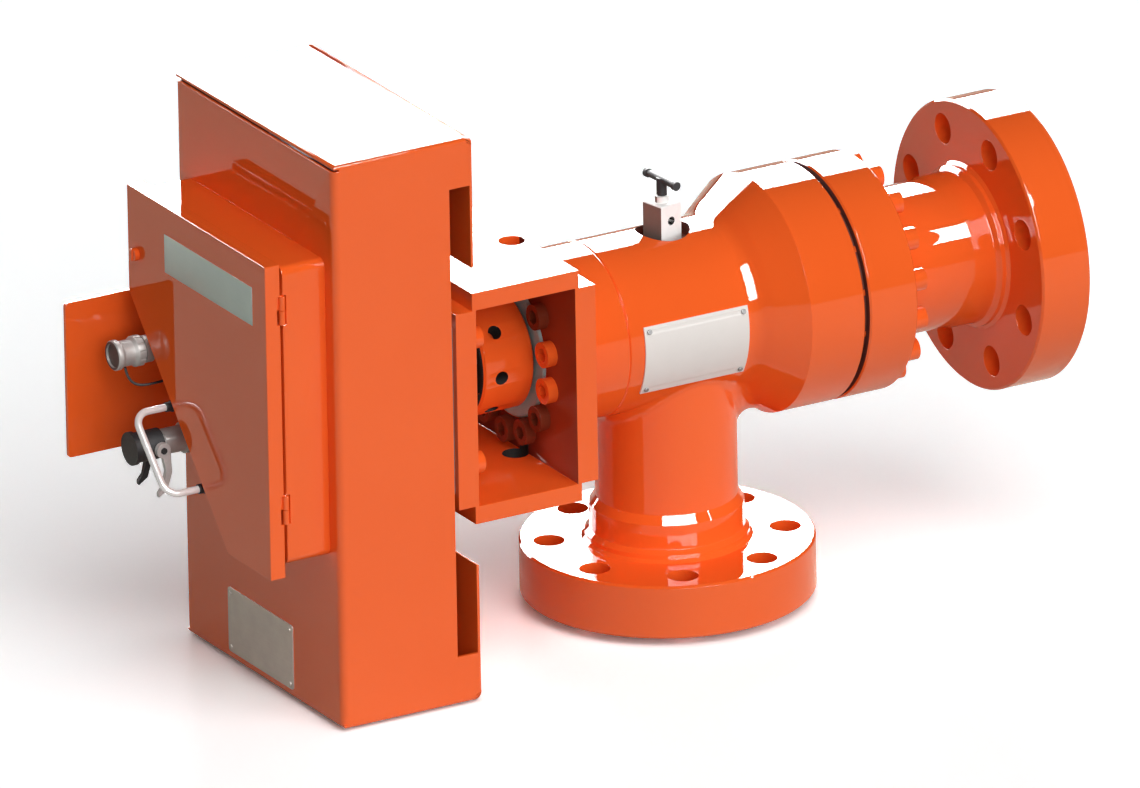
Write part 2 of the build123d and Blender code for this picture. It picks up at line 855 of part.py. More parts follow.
def gear_housing():
    low = pipe_z - housing_half_h
    high = pipe_z + housing_half_h
    left = housing_left + housing_wall
    flange_left = yoke_left_x - housing_flange_thick
    wall = housing_wall
    seat_r = worm_bearing_r + slip
    with BuildPart() as housing:
        bar(left, flange_left, housing_near_y, housing_far_y, low, high)
        with BuildSketch(across(flange_left)) as flange:
            Rectangle(2 * housing_flange_half_w, 2 * housing_flange_half_h)
            fillet(flange.vertices(), 12)
        extrude(amount=housing_flange_thick)
        bar(left, front_wall_x, housing_near_y + wall, housing_far_y - wall, low + wall, high - wall, Mode.SUBTRACT)
        rod(yoke_left_x, yoke_left_x + 10, 0, pipe_z, yoke_pilot_r - slip)
        # bosses for the worm bearings
        post(low + wall, low + wall + worm_bearing_w, gear_x, worm_y, seat_r + 5)
        post(high - wall - worm_bearing_w, high - wall, gear_x, worm_y, seat_r + 5)
        post(low + wall, low + wall + worm_bearing_w, gear_x, worm_y, seat_r, Mode.SUBTRACT)
        post(high - wall - worm_bearing_w, high - wall, gear_x, worm_y, seat_r, Mode.SUBTRACT)
        post(high - wall, high, gear_x, worm_y, worm_shaft_r + 1, Mode.SUBTRACT)
        rod(front_wall_x, front_wall_x + bearing_w, 0, pipe_z, bearing_outer_r + slip, Mode.SUBTRACT)
        rod(front_wall_x, yoke_left_x + 10, 0, pipe_z, shaft_r + 1, Mode.SUBTRACT)
        with BuildSketch(across(yoke_left_x)):
            with GridLocations(2 * drive_screw_y, 2 * drive_screw_z, 2, 2):
                Circle(screw_r + thread_gap)
        extrude(amount=-housing_flange_thick, mode=Mode.SUBTRACT)
    save(housing.part, "gear_housing")
    with BuildPart() as cover:
        bar(housing_left, left, housing_near_y, housing_far_y, low, high)
        rod(left, left + bearing_w, 0, pipe_z, bearing_outer_r + 7)
        rod(left, left + bearing_w, 0, pipe_z, bearing_outer_r + slip, Mode.SUBTRACT)
        rod(housing_left, left, 0, pipe_z, 6.5, Mode.SUBTRACT)
    save(cover.part, "gear_cover")
    inner = shaft_r + slip
    with BuildPart() as shaft_bearings:
        for x in (left, front_wall_x):
            rod(x, x + bearing_w, 0, pipe_z, bearing_outer_r)
            rod(x, x + bearing_w, 0, pipe_z, inner, Mode.SUBTRACT)
    save(shaft_bearings.part, "shaft_bearings")
    with BuildPart() as bearings:
        for base in (low + wall, high - wall - worm_bearing_w):
            post(base, base + worm_bearing_w, gear_x, worm_y, worm_bearing_r)
            post(base, base + worm_bearing_w, gear_x, worm_y, worm_shaft_r + slip, Mode.SUBTRACT)
    save(bearings.part, "worm_bearings")


def motor():
    base = pipe_z + housing_half_h
    top = base + motor_len
    foot = motor_r + 2
    with BuildPart() as housing:
        bar(gear_x - foot, gear_x + foot, worm_y - foot + 4, worm_y + foot - 4, base, base + 8)
        post(base, top, gear_x, worm_y, motor_r)
        fillet(housing.edges().group_by(Axis.Z)[-1], 4)
        for turn in range(0, 360, 30):
            fin = Plane(origin=(gear_x, worm_y, base + 16)).rotated((0, 0, turn))
            with BuildSketch(fin):
                with Locations((motor_r + 1.5, 0)):
                    Rectangle(5, 3)
            extrude(amount=motor_len - 32)
        # end spaces for the windings on both sides of the stator
        post(base + 12, base + 22, gear_x, worm_y, motor_r - 6, Mode.SUBTRACT)
        post(top - 20, top - 8, gear_x, worm_y, motor_r - 6, Mode.SUBTRACT)
        post(base + 22, top - 20, gear_x, worm_y, rotor_r + 0.6, Mode.SUBTRACT)
        post(base, base + 12, gear_x, worm_y, worm_shaft_r + 1, Mode.SUBTRACT)
    save(housing.part, "motor_housing")
    with BuildPart() as rotor:
        post(base + 26, top - 24, gear_x, worm_y, rotor_r)
        post(base + 26, top - 24, gear_x, worm_y, worm_shaft_r + slip, Mode.SUBTRACT)
    save(rotor.part, "motor_rotor")


def position_sensor():
    right = housing_left
    with BuildPart() as sensor:
        rod(right - sensor_len, right, 0, pipe_z, sensor_r)
        rod(right - 4, right, 0, pipe_z, 6.5, Mode.SUBTRACT)
    save(sensor.part, "position_sensor")


def cabinet_standoffs():
    panel = cab_front + cab_sheet
    with BuildPart() as standoffs:
        for y in (housing_near_y + 16, housing_far_y - 16):
            for z in (pipe_z - housing_half_h + 14, pipe_z + housing_half_h - 14):
                rod(panel, housing_left, y, z, 8)
    save(standoffs.part, "cabinet_standoffs")


def cabinet_cover():
    """Front and both sides, folded from one sheet, with a long slot in each rear edge."""
    low = cab_bottom + cab_cap_sheet
    high = cab_top - cab_cap_sheet
    rear = cab_rear - cab_cap_sheet
    with BuildPart() as cover:
        with BuildSketch(Plane.XY.offset(low)):
            with BuildLine():
                run = FilletPolyline(
                    (rear, -cab_half_w),
                    (cab_front, -cab_half_w),
                    (cab_front, cab_half_w),
                    (rear, cab_half_w),
                    radius=cab_bend,
                )
                offset(run, amount=cab_sheet, side=Side.RIGHT)
            make_face()
        extrude(amount=high - low)
        wide = cab_half_w + 1
        bar(cab_rear - cab_slot_deep, cab_rear, -wide, wide, cab_slot_bottom, cab_slot_top, Mode.SUBTRACT)
        bar(cab_front - 1, cab_front + cab_bend, -wide, wide, high - 2.5, high + 1, Mode.SUBTRACT)
        # corners clear of the inside of the roof's and the floor's bends
        relief = 1.45 * (cab_bend - cab_cap_sheet)
        for edge in (low, high):
            with BuildSketch(Plane.XZ):
                with Locations((rear, edge)):
                    Rectangle(relief, relief, rotation=45)
            extrude(amount=wide, both=True, mode=Mode.SUBTRACT)
        for y, z in guard_screw_spots():
            with BuildSketch(Plane.XZ.offset(-cab_half_w)):
                with Locations((y, z)):
                    Circle(3.2)
            extrude(amount=cab_sheet, mode=Mode.SUBTRACT)
        rod(cab_front - 1, cab_front + cab_sheet + 1, upper_y, upper_z, 8, Mode.SUBTRACT)
        rod(cab_front - 1, cab_front + cab_sheet + 1, lower_y, lower_z, 8, Mode.SUBTRACT)
    save(cover.part, "cabinet_cover")


def cabinet_end(outer_z, edge_z, name):
    """Roof or floor sheet, bent down or up into a part of the rear wall."""
    inward = 1 if outer_z < edge_z else -1
    with BuildPart() as cap:
        with BuildSketch(Plane.XZ):
            with BuildLine():
                run = FilletPolyline(
                    (cab_front + 1.5, outer_z),
                    (cab_rear, outer_z),
                    (cab_rear, edge_z),
                    radius=cab_bend,
                )
                side = Side.LEFT if inward > 0 else Side.RIGHT
                offset(run, amount=cab_cap_sheet, side=side)
            make_face()
        extrude(amount=cab_half_w, both=True)
    save(cap.part, name)


def guard_screw_spots():
    """Places of the guard plate screws, as (x, z) pairs."""
    return [(x, z) for x in (guard_rear_x + 10, guard_rear_x + 32) for z in (guard_bottom + 20, guard_top - 20)]


def guard_plate():
    with BuildPart() as guard:
        bar(guard_front_x, guard_rear_x, cab_half_w, cab_half_w + guard_sheet, guard_bottom, guard_top)
        fillet(guard.edges().filter_by(Axis.Y), 4)
        for x, z in guard_screw_spots():
            with BuildSketch(Plane.XZ.offset(-cab_half_w)):
                with Locations((x, z)):
                    Circle(3.2)
            extrude(amount=-guard_sheet, mode=Mode.SUBTRACT)
    save(guard.part, "guard_plate")
    with BuildPart() as screws:
        for x, z in guard_screw_spots():
            with BuildSketch(Plane.XZ.offset(-(cab_half_w - cab_sheet - 4))):
                with Locations((x, z)):
                    Circle(3.0)
            extrude(amount=-(cab_sheet + guard_sheet + 4))
            with BuildSketch(Plane.XZ.offset(-(cab_half_w + guard_sheet))):
                with Locations((x, z)):
                    RegularPolygon(5.0, 6)
            extrude(amount=-3.5)
    save(screws.part, "guard_screws")


def box_outline():
    return [
        (box_near_y, box_bottom),
        (box_kink_y, box_bottom),
        (box_far_y, box_kink_z),
        (box_far_y, box_top),
        (box_near_y, box_top),
    ]


def door_outline():
    return [
        (door_near_y, door_bottom),
        (door_kink_y, door_bottom),
        (door_far_y, door_kink_z),
        (door_far_y, door_top),
        (door_near_y, door_top),
    ]


def slab(outline, inset, left, right, bend, mode=Mode.ADD):
    """Plate of a five-sided outline between two stations, its outline drawn in by inset."""
    with BuildSketch(standing(left)) as face:
        with BuildLine():
            Polyline(*outline, close=True)
        make_face()
        if bend > inset:
            fillet(face.vertices(), bend)
        if inset > 0:
            offset(amount=-inset, kind=Kind.INTERSECTION, mode=Mode.REPLACE)
    extrude(face.sketch, amount=right - left, mode=mode)


def control_box():
    inner = box_mouth_x + box_sheet
    back = cab_front - box_sheet
    with BuildPart() as box:
        slab(box_outline(), 0, box_mouth_x, cab_front, box_bend)
        slab(box_outline(), rim_inset, rim_x, box_mouth_x, box_bend)
        slab(box_outline(), box_sheet, inner, back, box_bend, Mode.SUBTRACT)
        slab(box_outline(), rim_inset + rim_sheet, rim_x, inner, 0, Mode.SUBTRACT)
        for low in hinge_lows:
            bar(box_mouth_x, box_mouth_x + 3.6, box_near_y, box_near_y + 5, low - 0.5, low + hinge_half + 0.5, Mode.SUBTRACT)
    save(box.part, "control_box")


def box_inside():
    back = cab_front - box_sheet
    with BuildPart() as plate:
        bar(back - 10, back - 8, -112, 100, 345, 436)
        bar(back - 10, back - 8, -112, 5, 235, 345)
        for y, z in ((-104, 243), (-4, 243), (-104, 428), (92, 428)):
            rod(back - 8, back, y, z, 4)
    save(plate.part, "mounting_plate")
    with BuildPart() as drive:
        bar(back - 32, back - 10, -98, 8, 338, 428)
        fillet(drive.edges().filter_by(Axis.X), 3)
        for index in range(7):
            z = 348 + index * 11.5
            bar(back - 34, back - 32, -90, -30, z, z + 5)
    save(drive.part, "drive_module")
    with BuildPart() as rail:
        bar(back - 13, back - 10, -100, -4, 286, 304)
        for index in range(11):
            y = -96 + index * 8
            bar(back - 30, back - 13, y, y + 6.5, 276, 314)
    save(rail.part, "terminal_rail")
    with BuildPart() as gasket:
        slab(door_outline(), 6.0, door_front_x + door_sheet, rim_x, 0)
        slab(door_outline(), 11.0, door_front_x + door_sheet, rim_x, 0, Mode.SUBTRACT)
    save(gasket.part, "door_gasket")


def control_box_door():
    inner = door_front_x + door_sheet
    with BuildPart() as door:
        slab(door_outline(), 0, door_front_x, door_edge_x, 0)
        slab(door_outline(), door_sheet, inner, door_edge_x, 0, Mode.SUBTRACT)
        for low in hinge_lows:
            bar(door_edge_x - 3, door_edge_x, door_near_y, door_near_y + 3, low, low + hinge_half, Mode.SUBTRACT)
        rod(door_front_x, inner, latch_y, latch_z, 3.2, Mode.SUBTRACT)
    save(door.part, "control_box_door")


def hinges():
    """Two lift-off hinges: lower knuckles on the box, upper knuckles on the door."""
    half = hinge_half / 2
    wall = box_near_y + box_sheet
    with BuildPart() as fixed:
        for low in hinge_lows:
            post(low, low + half - 0.2, hinge_x, hinge_y, hinge_r)
            bar(hinge_x, box_mouth_x + box_sheet, wall, wall + 2, low, low + half - 0.2)
            bar(box_mouth_x + box_sheet, hinge_x + 18, wall, wall + 2, low - 26, low + half - 0.2)
            post(low, low + half - 0.2, hinge_x, hinge_y, hinge_pin_r, Mode.SUBTRACT)
    save(fixed.part, "hinge_box_leaves")
    with BuildPart() as moving:
        for low in hinge_lows:
            base = low + half + 0.2
            top = low + hinge_half
            post(base, top, hinge_x, hinge_y, hinge_r)
            bar(door_front_x + door_sheet, hinge_x, door_near_y + door_sheet, door_near_y + door_sheet + 2, base, top)
            post(base, top, hinge_x, hinge_y, hinge_pin_r + slip, Mode.SUBTRACT)
    save(moving.part, "hinge_door_leaves")
    with BuildPart() as pins:
        for low in hinge_lows:
            post(low, low + hinge_half - 1, hinge_x, hinge_y, hinge_pin_r)
    save(pins.part, "hinge_pins")


def door_latch():
    """Quarter-turn knob; its cam hangs down at rest and turns behind the mouth of the box."""
    cam_left = box_mouth_x + box_sheet + 1
    with BuildPart() as latch:
        rod(door_front_x - 5, door_front_x - 0.3, latch_y, latch_z, 6)
        rod(door_front_x - 0.3, cam_left + 2.5, latch_y, latch_z, 3)
        bar(cam_left, cam_left + 2.5, latch_y - 3.5, latch_y + 3.5, latch_z - 12, latch_z + 3.5)
        bar(door_front_x - 6.5, door_front_x - 5, latch_y - 1.2, latch_y + 1.2, latch_z - 5, latch_z + 5)
    save(latch.part, "door_latch")


def grab_handle():
    (y1, z1), (y2, z2) = handle_ends
    root = handle_start_x + 12
    with BuildPart() as handle:
        with BuildLine():
            path = FilletPolyline(
                (root, y1, z1),
                (handle_out_x, y1, z1),
                (handle_out_x, y2, z2),
                (root, y2, z2),
                radius=handle_bend,
            )
        with BuildSketch(Plane(origin=path @ 0, z_dir=path % 0)):
            Circle(handle_r)
        sweep(path=path)
    save(handle.part, "grab_handle")
    with BuildPart() as standoffs:
        for y, z in handle_ends:
            rod(handle_start_x + 6, cab_front, y, z, standoff_r)
            rod(handle_start_x, handle_start_x + 6, y, z, standoff_r - 1)
            rod(handle_start_x, root, y, z, handle_r + slip, Mode.SUBTRACT)
    save(standoffs.part, "handle_standoffs")


def upper_connector():
    nose = upper_end_x + 12
    with BuildPart() as shell:
        bar(cab_front - 3, cab_front, upper_y - 17, upper_y + 17, upper_z - 17, upper_z + 17)
        fillet(shell.edges().filter_by(Axis.X), 3)
        rod(nose, cab_front - 3, upper_y, upper_z, 10.5)
        rod(-478, -470, upper_y, upper_z, 12.5)
        rod(nose, nose + 20, upper_y, upper_z, 8, Mode.SUBTRACT)
        for angle in range(0, 360, 60):
            rod(nose + 3, nose + 20, upper_y + 5 * cos(radians(angle)), upper_z + 5 * sin(radians(angle)), 1)
    save(shell.part, "upper_connector")
    with BuildPart() as cap:
        with BuildSketch(Plane(origin=(0, upper_y, upper_z), x_dir=(1, 0, 0), z_dir=(0, -1, 0))):
            with BuildLine():
                Polyline(
                    (upper_end_x + 2, 0),
                    (upper_end_x + 2, 11),
                    (upper_end_x, 11),
                    (upper_end_x, 13),
                    (upper_end_x + 1, 14),
                    (upper_end_x + 5, 14),
                    (upper_end_x + 8, 12),
                    (upper_end_x + 18, 12),
                    (upper_end_x + 21, 14.2),
                    (upper_end_x + 28, 14.2),
                    (upper_end_x + 28, 10.8),
                    (upper_end_x + 11, 10.8),
                    (upper_end_x + 11, 0),
                    close=True,
                )
            make_face()
        revolve(axis=Axis((0, upper_y, upper_z), (1, 0, 0)))
        for angle in range(15, 360, 30):
            y = upper_y + 14.6 * cos(radians(angle))
            z = upper_z + 14.6 * sin(radians(angle))
            rod(upper_end_x + 22, upper_end_x + 28, y, z, 1.2, Mode.SUBTRACT)
    save(cap.part, "upper_connector_cap")
    with BuildPart() as lanyard:
        waist = upper_end_x + 13
        with BuildSketch(Plane(origin=(0, upper_y, upper_z), x_dir=(1, 0, 0), z_dir=(0, -1, 0))):
            with Locations((waist, 13.7)):
                Circle(1.2)
        revolve(axis=Axis((0, upper_y, upper_z), (1, 0, 0)))
        with BuildLine():
            path = Spline(
                (waist, upper_y, upper_z - 13.7),
                (waist + 8, upper_y, upper_z - 30),
                (waist + 30, upper_y - 2, upper_z - 34),
                (cab_front - 12, upper_y - 4, upper_z - 20),
                (cab_front - 3, upper_y - 4, upper_z - 14.5),
                tangents=[(0.2, 0, -1), (1, 0, 0)],
            )
        with BuildSketch(Plane(origin=path @ 0, z_dir=path % 0)):
            Circle(1.2)
        sweep(path=path)
    save(lanyard.part, "cap_lanyard")


def lower_connector():
    with BuildPart() as shell:
        bar(cab_front - 3, cab_front, lower_y - 18, lower_y + 18, lower_z - 18, lower_z + 18)
        fillet(shell.edges().filter_by(Axis.X), 3)
        rod(-450, cab_front - 3, lower_y, lower_z, 12)
        rod(-456, -450, lower_y, lower_z, 14.5)
        rod(-478, -456, lower_y, lower_z, 12)
        rod(-498, -478, lower_y, lower_z, 11)
        rod(-498, -474, lower_y, lower_z, 8.5, Mode.SUBTRACT)
    save(shell.part, "lower_connector")
    with BuildPart() as cap:
        rod(lower_end_x, lower_end_x + 4, lower_y, lower_z, 15.5)
        rod(lower_end_x + 4, lower_end_x + 30, lower_y, lower_z, 14)
        rod(lower_end_x + 10, lower_end_x + 30, lower_y, lower_z, 11.1, Mode.SUBTRACT)
        for side in (-1, 1):
            with BuildSketch(Plane.XZ.offset(-(lower_y + side * 12))):
                with Locations((lever_x, lower_z)):
                    Circle(3)
            extrude(amount=-side * 10)
        rod(lower_end_x + 10, lower_end_x + 30, lower_y, lower_z, 11.1, Mode.SUBTRACT)
    save(cap.part, "lower_connector_cap")
    for side, name in ((-1, "near_cam_lever"), (1, "far_cam_lever")):
        with BuildPart() as lever:
            with BuildSketch(Plane.XZ.offset(-(lower_y + side * lever_off))):
                with BuildLine():
                    Polyline(
                        (lever_x - 5, lower_z + 3),
                        (lever_x - 1, lower_z + 7),
                        (lever_x + 5, lower_z + 5),
                        (lever_x + 7, lower_z - 4),
                        (lever_x + 8, lower_z - 22),
                        (lever_x + 3, lower_z - 38),
                        (lever_x - 6, lower_z - 44),
                        (lever_x - 6, lower_z - 40),
                        (lever_x - 1, lower_z - 34),
                        (lever_x + 2, lower_z - 20),
                        (lever_x - 1, lower_z - 6),
                        close=True,
                    )
                make_face()
                with Locations((lever_x, lower_z)):
                    Circle(7)
                    Circle(3 + running, mode=Mode.SUBTRACT)
            extrude(amount=-side * 5)
        save(lever.part, name)


def bleed_valve():
    side_plane = Plane(origin=(0, 0, recess_floor_z)).rotated((0, 0, bleed_turn))
    port_z = bleed_top_z - 16
    with BuildPart() as block:
        with BuildSketch(side_plane):
            Rectangle(bleed_side, bleed_side)
        extrude(amount=bleed_top_z - recess_floor_z)
        chamfer(block.edges().group_by(Axis.Z)[-1], 1)
        post(recess_floor_z - 16, recess_floor_z, 0, 0, bleed_thread_r)
        post(bleed_top_z, bleed_top_z + 6, 0, 0, 6.5)
        post(recess_floor_z - 16, bleed_top_z + 6, 0, 0, bleed_stem_r + running, Mode.SUBTRACT)
        turn = radians(bleed_turn)
        face = Plane(
            origin=(bleed_side / 2 * sin(turn), -bleed_side / 2 * cos(turn), port_z),
            x_dir=(cos(turn), sin(turn), 0),
            z_dir=(sin(turn), -cos(turn), 0),
        )
        with BuildSketch(face):
            Circle(4)
        extrude(amount=-bleed_side / 2, mode=Mode.SUBTRACT)
    save(block.part, "bleed_valve_block")
    with BuildPart() as needle:
        post(recess_floor_z - 8, handle_bar_z - 9.2, 0, 0, bleed_stem_r)
        chamfer(needle.edges().group_by(Axis.Z)[0], 2)
    save(needle.part, "bleed_needle")
    base = handle_bar_z - 14.5
    with BuildPart() as handle:
        post(base, handle_bar_z + 2, 0, 0, bleed_nut_r)
        post(base, handle_bar_z - 9, 0, 0, bleed_stem_r + slip, Mode.SUBTRACT)
        turn = radians(handle_bar_turn)
        way = (sin(turn), -cos(turn), 0)
        with BuildSketch(Plane(origin=(0, 0, handle_bar_z), z_dir=way)):
            Circle(handle_bar_r)
        extrude(amount=handle_bar_len / 2, both=True)
        for end in (-1, 1):
            centre = (end * way[0] * handle_bar_len / 2, end * way[1] * handle_bar_len / 2, handle_bar_z)
            with BuildSketch(Plane(origin=centre, z_dir=way)):
                Circle(handle_bar_r + 1)
            extrude(amount=-end * 4)
    save(handle.part, "bleed_handle")


def radial(x, angle, radius):
    """Plane square to a radius of the barrel, its normal pointing out.

    angle is counted up from the near side.
    """
    c, s = cos(radians(angle)), sin(radians(angle))
    return Plane(origin=(x, -radius * c, pipe_z + radius * s), x_dir=(1, 0, 0), z_dir=(0, -c, s))


def body_nameplate():
    start = radians(body_plate_low)
    first = Plane(origin=(0, 0, pipe_z), x_dir=(1, 0, 0), z_dir=(0, -sin(start), -cos(start)))
    edge = degrees(5 / barrel_r)
    corners = [
        (x, angle)
        for x in (body_plate_left + 5, body_plate_right - 5)
        for angle in (body_plate_low + edge, body_plate_high - edge)
    ]
    with BuildPart() as plate:
        with BuildSketch(first):
            with Locations(((body_plate_left + body_plate_right) / 2, barrel_r + plate_sheet / 2)):
                Rectangle(body_plate_right - body_plate_left, plate_sheet)
        revolve(
            axis=Axis((0, 0, pipe_z), (-1, 0, 0)),
            revolution_arc=body_plate_high - body_plate_low,
        )
        for x, angle in corners:
            with BuildSketch(radial(x, angle, barrel_r)):
                Circle(1.6)
            extrude(amount=3, mode=Mode.SUBTRACT)
    save(plate.part, "body_nameplate")
    with BuildPart() as rivets:
        for x, angle in corners:
            with BuildSketch(radial(x, angle, barrel_r + plate_sheet + 0.1)):
                Circle(rivet_r)
            extrude(amount=1.5)
            with BuildSketch(radial(x, angle, barrel_r + 0.2)):
                Circle(1.5)
            extrude(amount=plate_sheet)
    save(rivets.part, "nameplate_rivets")


def cabinet_nameplate():
    with BuildPart() as plate:
        bar(cab_front - 1.2, cab_front, -55, 63, 12, 74)
        fillet(plate.edges().filter_by(Axis.X), 3)
        for y in (-50, 58):
            for z in (17, 69):
                rod(cab_front - 2.4, cab_front - 1.2, y, z, 2)
    save(plate.part, "cabinet_nameplate")


def main():
    choke_body()
    outlet_spool()
    cap_screws(
        spool_rim_right,
        spool_flange_thick + groove_gap + tap_deep - 2,
        spool_screw_circle_r,
        spool_screw_count,
        -1,
        screw_head_r,
        screw_head_len,
        "spool_screws",
    )
    cap_screws(
        yoke_right_inner,
        yoke_plate - 1.5,
        bonnet_screw_circle_r,
        bonnet_screw_count,
        1,
        bonnet_head_r,
        bonnet_head_len,
        "bonnet_screws",
    )
    bonnet()
    seal_rings()
    gland_retainer()
    stem_packing()
    choke_stem()
    thrust_washer()
    drive_fork()
    throttling_plates()
    plate_carrier()
    wear_sleeve()
    yoke_frame()
    drive_screws()
    coupling_hub()
    output_shaft()
    worm_wheel()
    worm_shaft()
    gear_housing()
    motor()
    position_sensor()
    cabinet_standoffs()
    cabinet_cover()
    cabinet_end(cab_top, rear_open_top, "cabinet_roof")
    cabinet_end(cab_bottom, rear_open_bottom, "cabinet_floor")
    guard_plate()
    control_box()
    box_inside()
    control_box_door()
    hinges()
    door_latch()
    grab_handle()
    upper_connector()
    lower_connector()
    bleed_valve()
    body_nameplate()
    cabinet_nameplate()


if __name__ == "__main__":
    main()
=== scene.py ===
"""Rotating-plate choke valve with an electric drive cabinet, dressed for rendering.

Metres, Z up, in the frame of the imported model: the origin is the centre of the inlet
flange face on the ground, and X runs along the pipe towards the outlet.
"""
import json
import logging
import math
from collections.abc import Callable
from dataclasses import dataclass
from enum import Enum, member

import bmesh
import bpy
from mathutils import Matrix, Vector

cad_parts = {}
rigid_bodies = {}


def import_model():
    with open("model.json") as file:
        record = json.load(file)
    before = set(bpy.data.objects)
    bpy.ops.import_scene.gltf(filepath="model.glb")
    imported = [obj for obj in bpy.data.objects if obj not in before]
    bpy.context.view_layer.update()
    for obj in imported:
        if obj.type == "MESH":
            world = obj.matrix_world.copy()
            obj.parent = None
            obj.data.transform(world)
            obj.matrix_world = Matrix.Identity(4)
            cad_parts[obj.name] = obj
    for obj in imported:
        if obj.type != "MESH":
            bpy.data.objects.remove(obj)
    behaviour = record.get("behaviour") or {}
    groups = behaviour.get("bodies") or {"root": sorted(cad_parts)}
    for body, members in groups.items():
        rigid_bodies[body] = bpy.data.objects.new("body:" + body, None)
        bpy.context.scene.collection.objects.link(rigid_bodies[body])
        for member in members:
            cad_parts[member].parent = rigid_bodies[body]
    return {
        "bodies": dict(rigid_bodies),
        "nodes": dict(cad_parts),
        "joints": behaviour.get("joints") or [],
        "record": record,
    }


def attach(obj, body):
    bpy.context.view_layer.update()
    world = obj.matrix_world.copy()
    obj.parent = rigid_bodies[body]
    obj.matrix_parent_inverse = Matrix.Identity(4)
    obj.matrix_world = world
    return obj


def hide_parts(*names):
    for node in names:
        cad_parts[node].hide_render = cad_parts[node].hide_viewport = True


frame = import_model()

log = logging.getLogger("choke_valve")
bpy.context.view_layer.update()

Colour = tuple[float, float, float]
Triple = tuple[float, float, float]
Pair = tuple[float, float]
Numbers = tuple[tuple[str, float], ...]
Socket = bpy.types.NodeSocket
Tree = bpy.types.NodeTree
Form = bmesh.types.BMesh

PIPE_Z = 0.273

# Rounding of edges, in metres
PIN_EDGE = 0.0002
PLATE_EDGE = 0.0003
TURNED_EDGE = 0.0004
SMALL_EDGE = 0.0005
MOULDED_EDGE = 0.0006
SCREW_EDGE = 0.0009
CAST_EDGE = 0.0012

# Cosines between a face's normal and an axis
WALL = 0.5  # a face with less runs along the axis
FACING = 0.9  # a face with more looks along it

# Mesh work
MERGE = 0.000002  # corners nearer than this are merged, in metres
FLATNESS = 0.4  # faces that meet at less are joined, in degrees
BLEND = 50.0  # turned faces that meet at more aren't blended, in degrees
EDGE_STEPS = 2  # facets of a rounded edge


# Node work


@dataclass(frozen=True)
class Noise:
    """Settings of a noise in space.

    Args:
        scale: grains in a metre.
        detail: octaves.
        rough: share of the fine octaves.
    """

    scale: float
    detail: float
    rough: float = 0.5


class Board:
    """Node tree with short calls that add, set and join nodes."""

    def __init__(self, tree: Tree) -> None:
        """Takes a node tree.

        Args:
            tree: the node tree that the calls work on.
        """
        self.tree = tree

    def add(self, kind: str, **settings: object) -> bpy.types.Node:
        """Adds a node.

        Args:
            kind: Blender's name for the node type.
            settings: properties of the node to set.

        Returns:
            The new node.
        """
        node = self.tree.nodes.new(kind)
        for key, value in settings.items():
            setattr(node, key, value)
        return node

    def join(self, source: Socket, target: Socket) -> None:
        """Links an output to an input."""
        self.tree.links.new(source, target)

    def noise(self, where: Socket, grain: Noise) -> Socket:
        """Adds a noise.

        Args:
            where: coordinates that the noise reads.
            grain: its settings.

        Returns:
            The noise, about 0.5 on average.
        """
        node = self.add("ShaderNodeTexNoise")
        node.inputs["Scale"].default_value = grain.scale
        node.inputs["Detail"].default_value = grain.detail
        node.inputs["Roughness"].default_value = grain.rough
        self.join(where, node.inputs["Vector"])
        return node.outputs["Fac"]

    def spread(self, value: Socket, reach: Pair, to: Pair) -> Socket:
        """Maps a range of values to another and keeps it inside.

        Args:
            value: the value to map.
            reach: ends of its range.
            to: the values that these ends get.

        Returns:
            The mapped value.
        """
        node = self.add("ShaderNodeMapRange")
        self.join(value, node.inputs["Value"])
        for key, number in zip(("From Min", "From Max", "To Min", "To Max"), (*reach, *to)):
            node.inputs[key].default_value = number
        return node.outputs["Result"]

    def maths(self, kind: str, first: Socket, second: Socket | float = 0.0) -> Socket:
        """Does one sum.

        Args:
            kind: Blender's name for the sum.
            first: first value.
            second: second value, if the sum has one.

        Returns:
            The result.
        """
        node = self.add("ShaderNodeMath", operation=kind)
        self.feed(node.inputs[0], first)
        self.feed(node.inputs[1], second)
        return node.outputs["Value"]

    def mix(self, share: Socket, first: Socket | Colour, second: Socket | Colour) -> Socket:
        """Mixes two colours.

        Args:
            share: share of the second colour.
            first: first colour.
            second: second colour.

        Returns:
            The mixed colour.
        """
        node = self.add("ShaderNodeMix", data_type="RGBA")
        colours = [socket for socket in node.inputs if socket.type == "RGBA"]
        self.feed(node.inputs["Factor"], share)
        self.feed(colours[0], first)
        self.feed(colours[1], second)
        return next(socket for socket in node.outputs if socket.type == "RGBA")

    def feed(self, target: Socket, value: Socket | Colour | float) -> None:
        """Gives an input its value.

        Args:
            target: the input.
            value: a socket to link, a colour or a number.
        """
        if isinstance(value, Socket):
            self.join(value, target)
        elif isinstance(value, tuple):
            target.default_value = (*value, 1.0)
        else:
            target.default_value = value


def empty_board(owner: bpy.types.Material | bpy.types.World) -> Board:
    """Empties the node tree of a material or a world.

    Args:
        owner: the material or the world.

    Returns:
        The tree's board.
    """
    owner.use_nodes = True
    owner.node_tree.nodes.clear()
    return Board(owner.node_tree)


def add_object(name: str, data: bpy.types.ID) -> bpy.types.Object:
    """Adds an object to the scene.

    Args:
        name: name of the object.
        data: its mesh, lamp or camera.

    Returns:
        The new object.
    """
    made = bpy.data.objects.new(name, data)
    bpy.context.scene.collection.objects.link(made)
    return made


# Surface effects


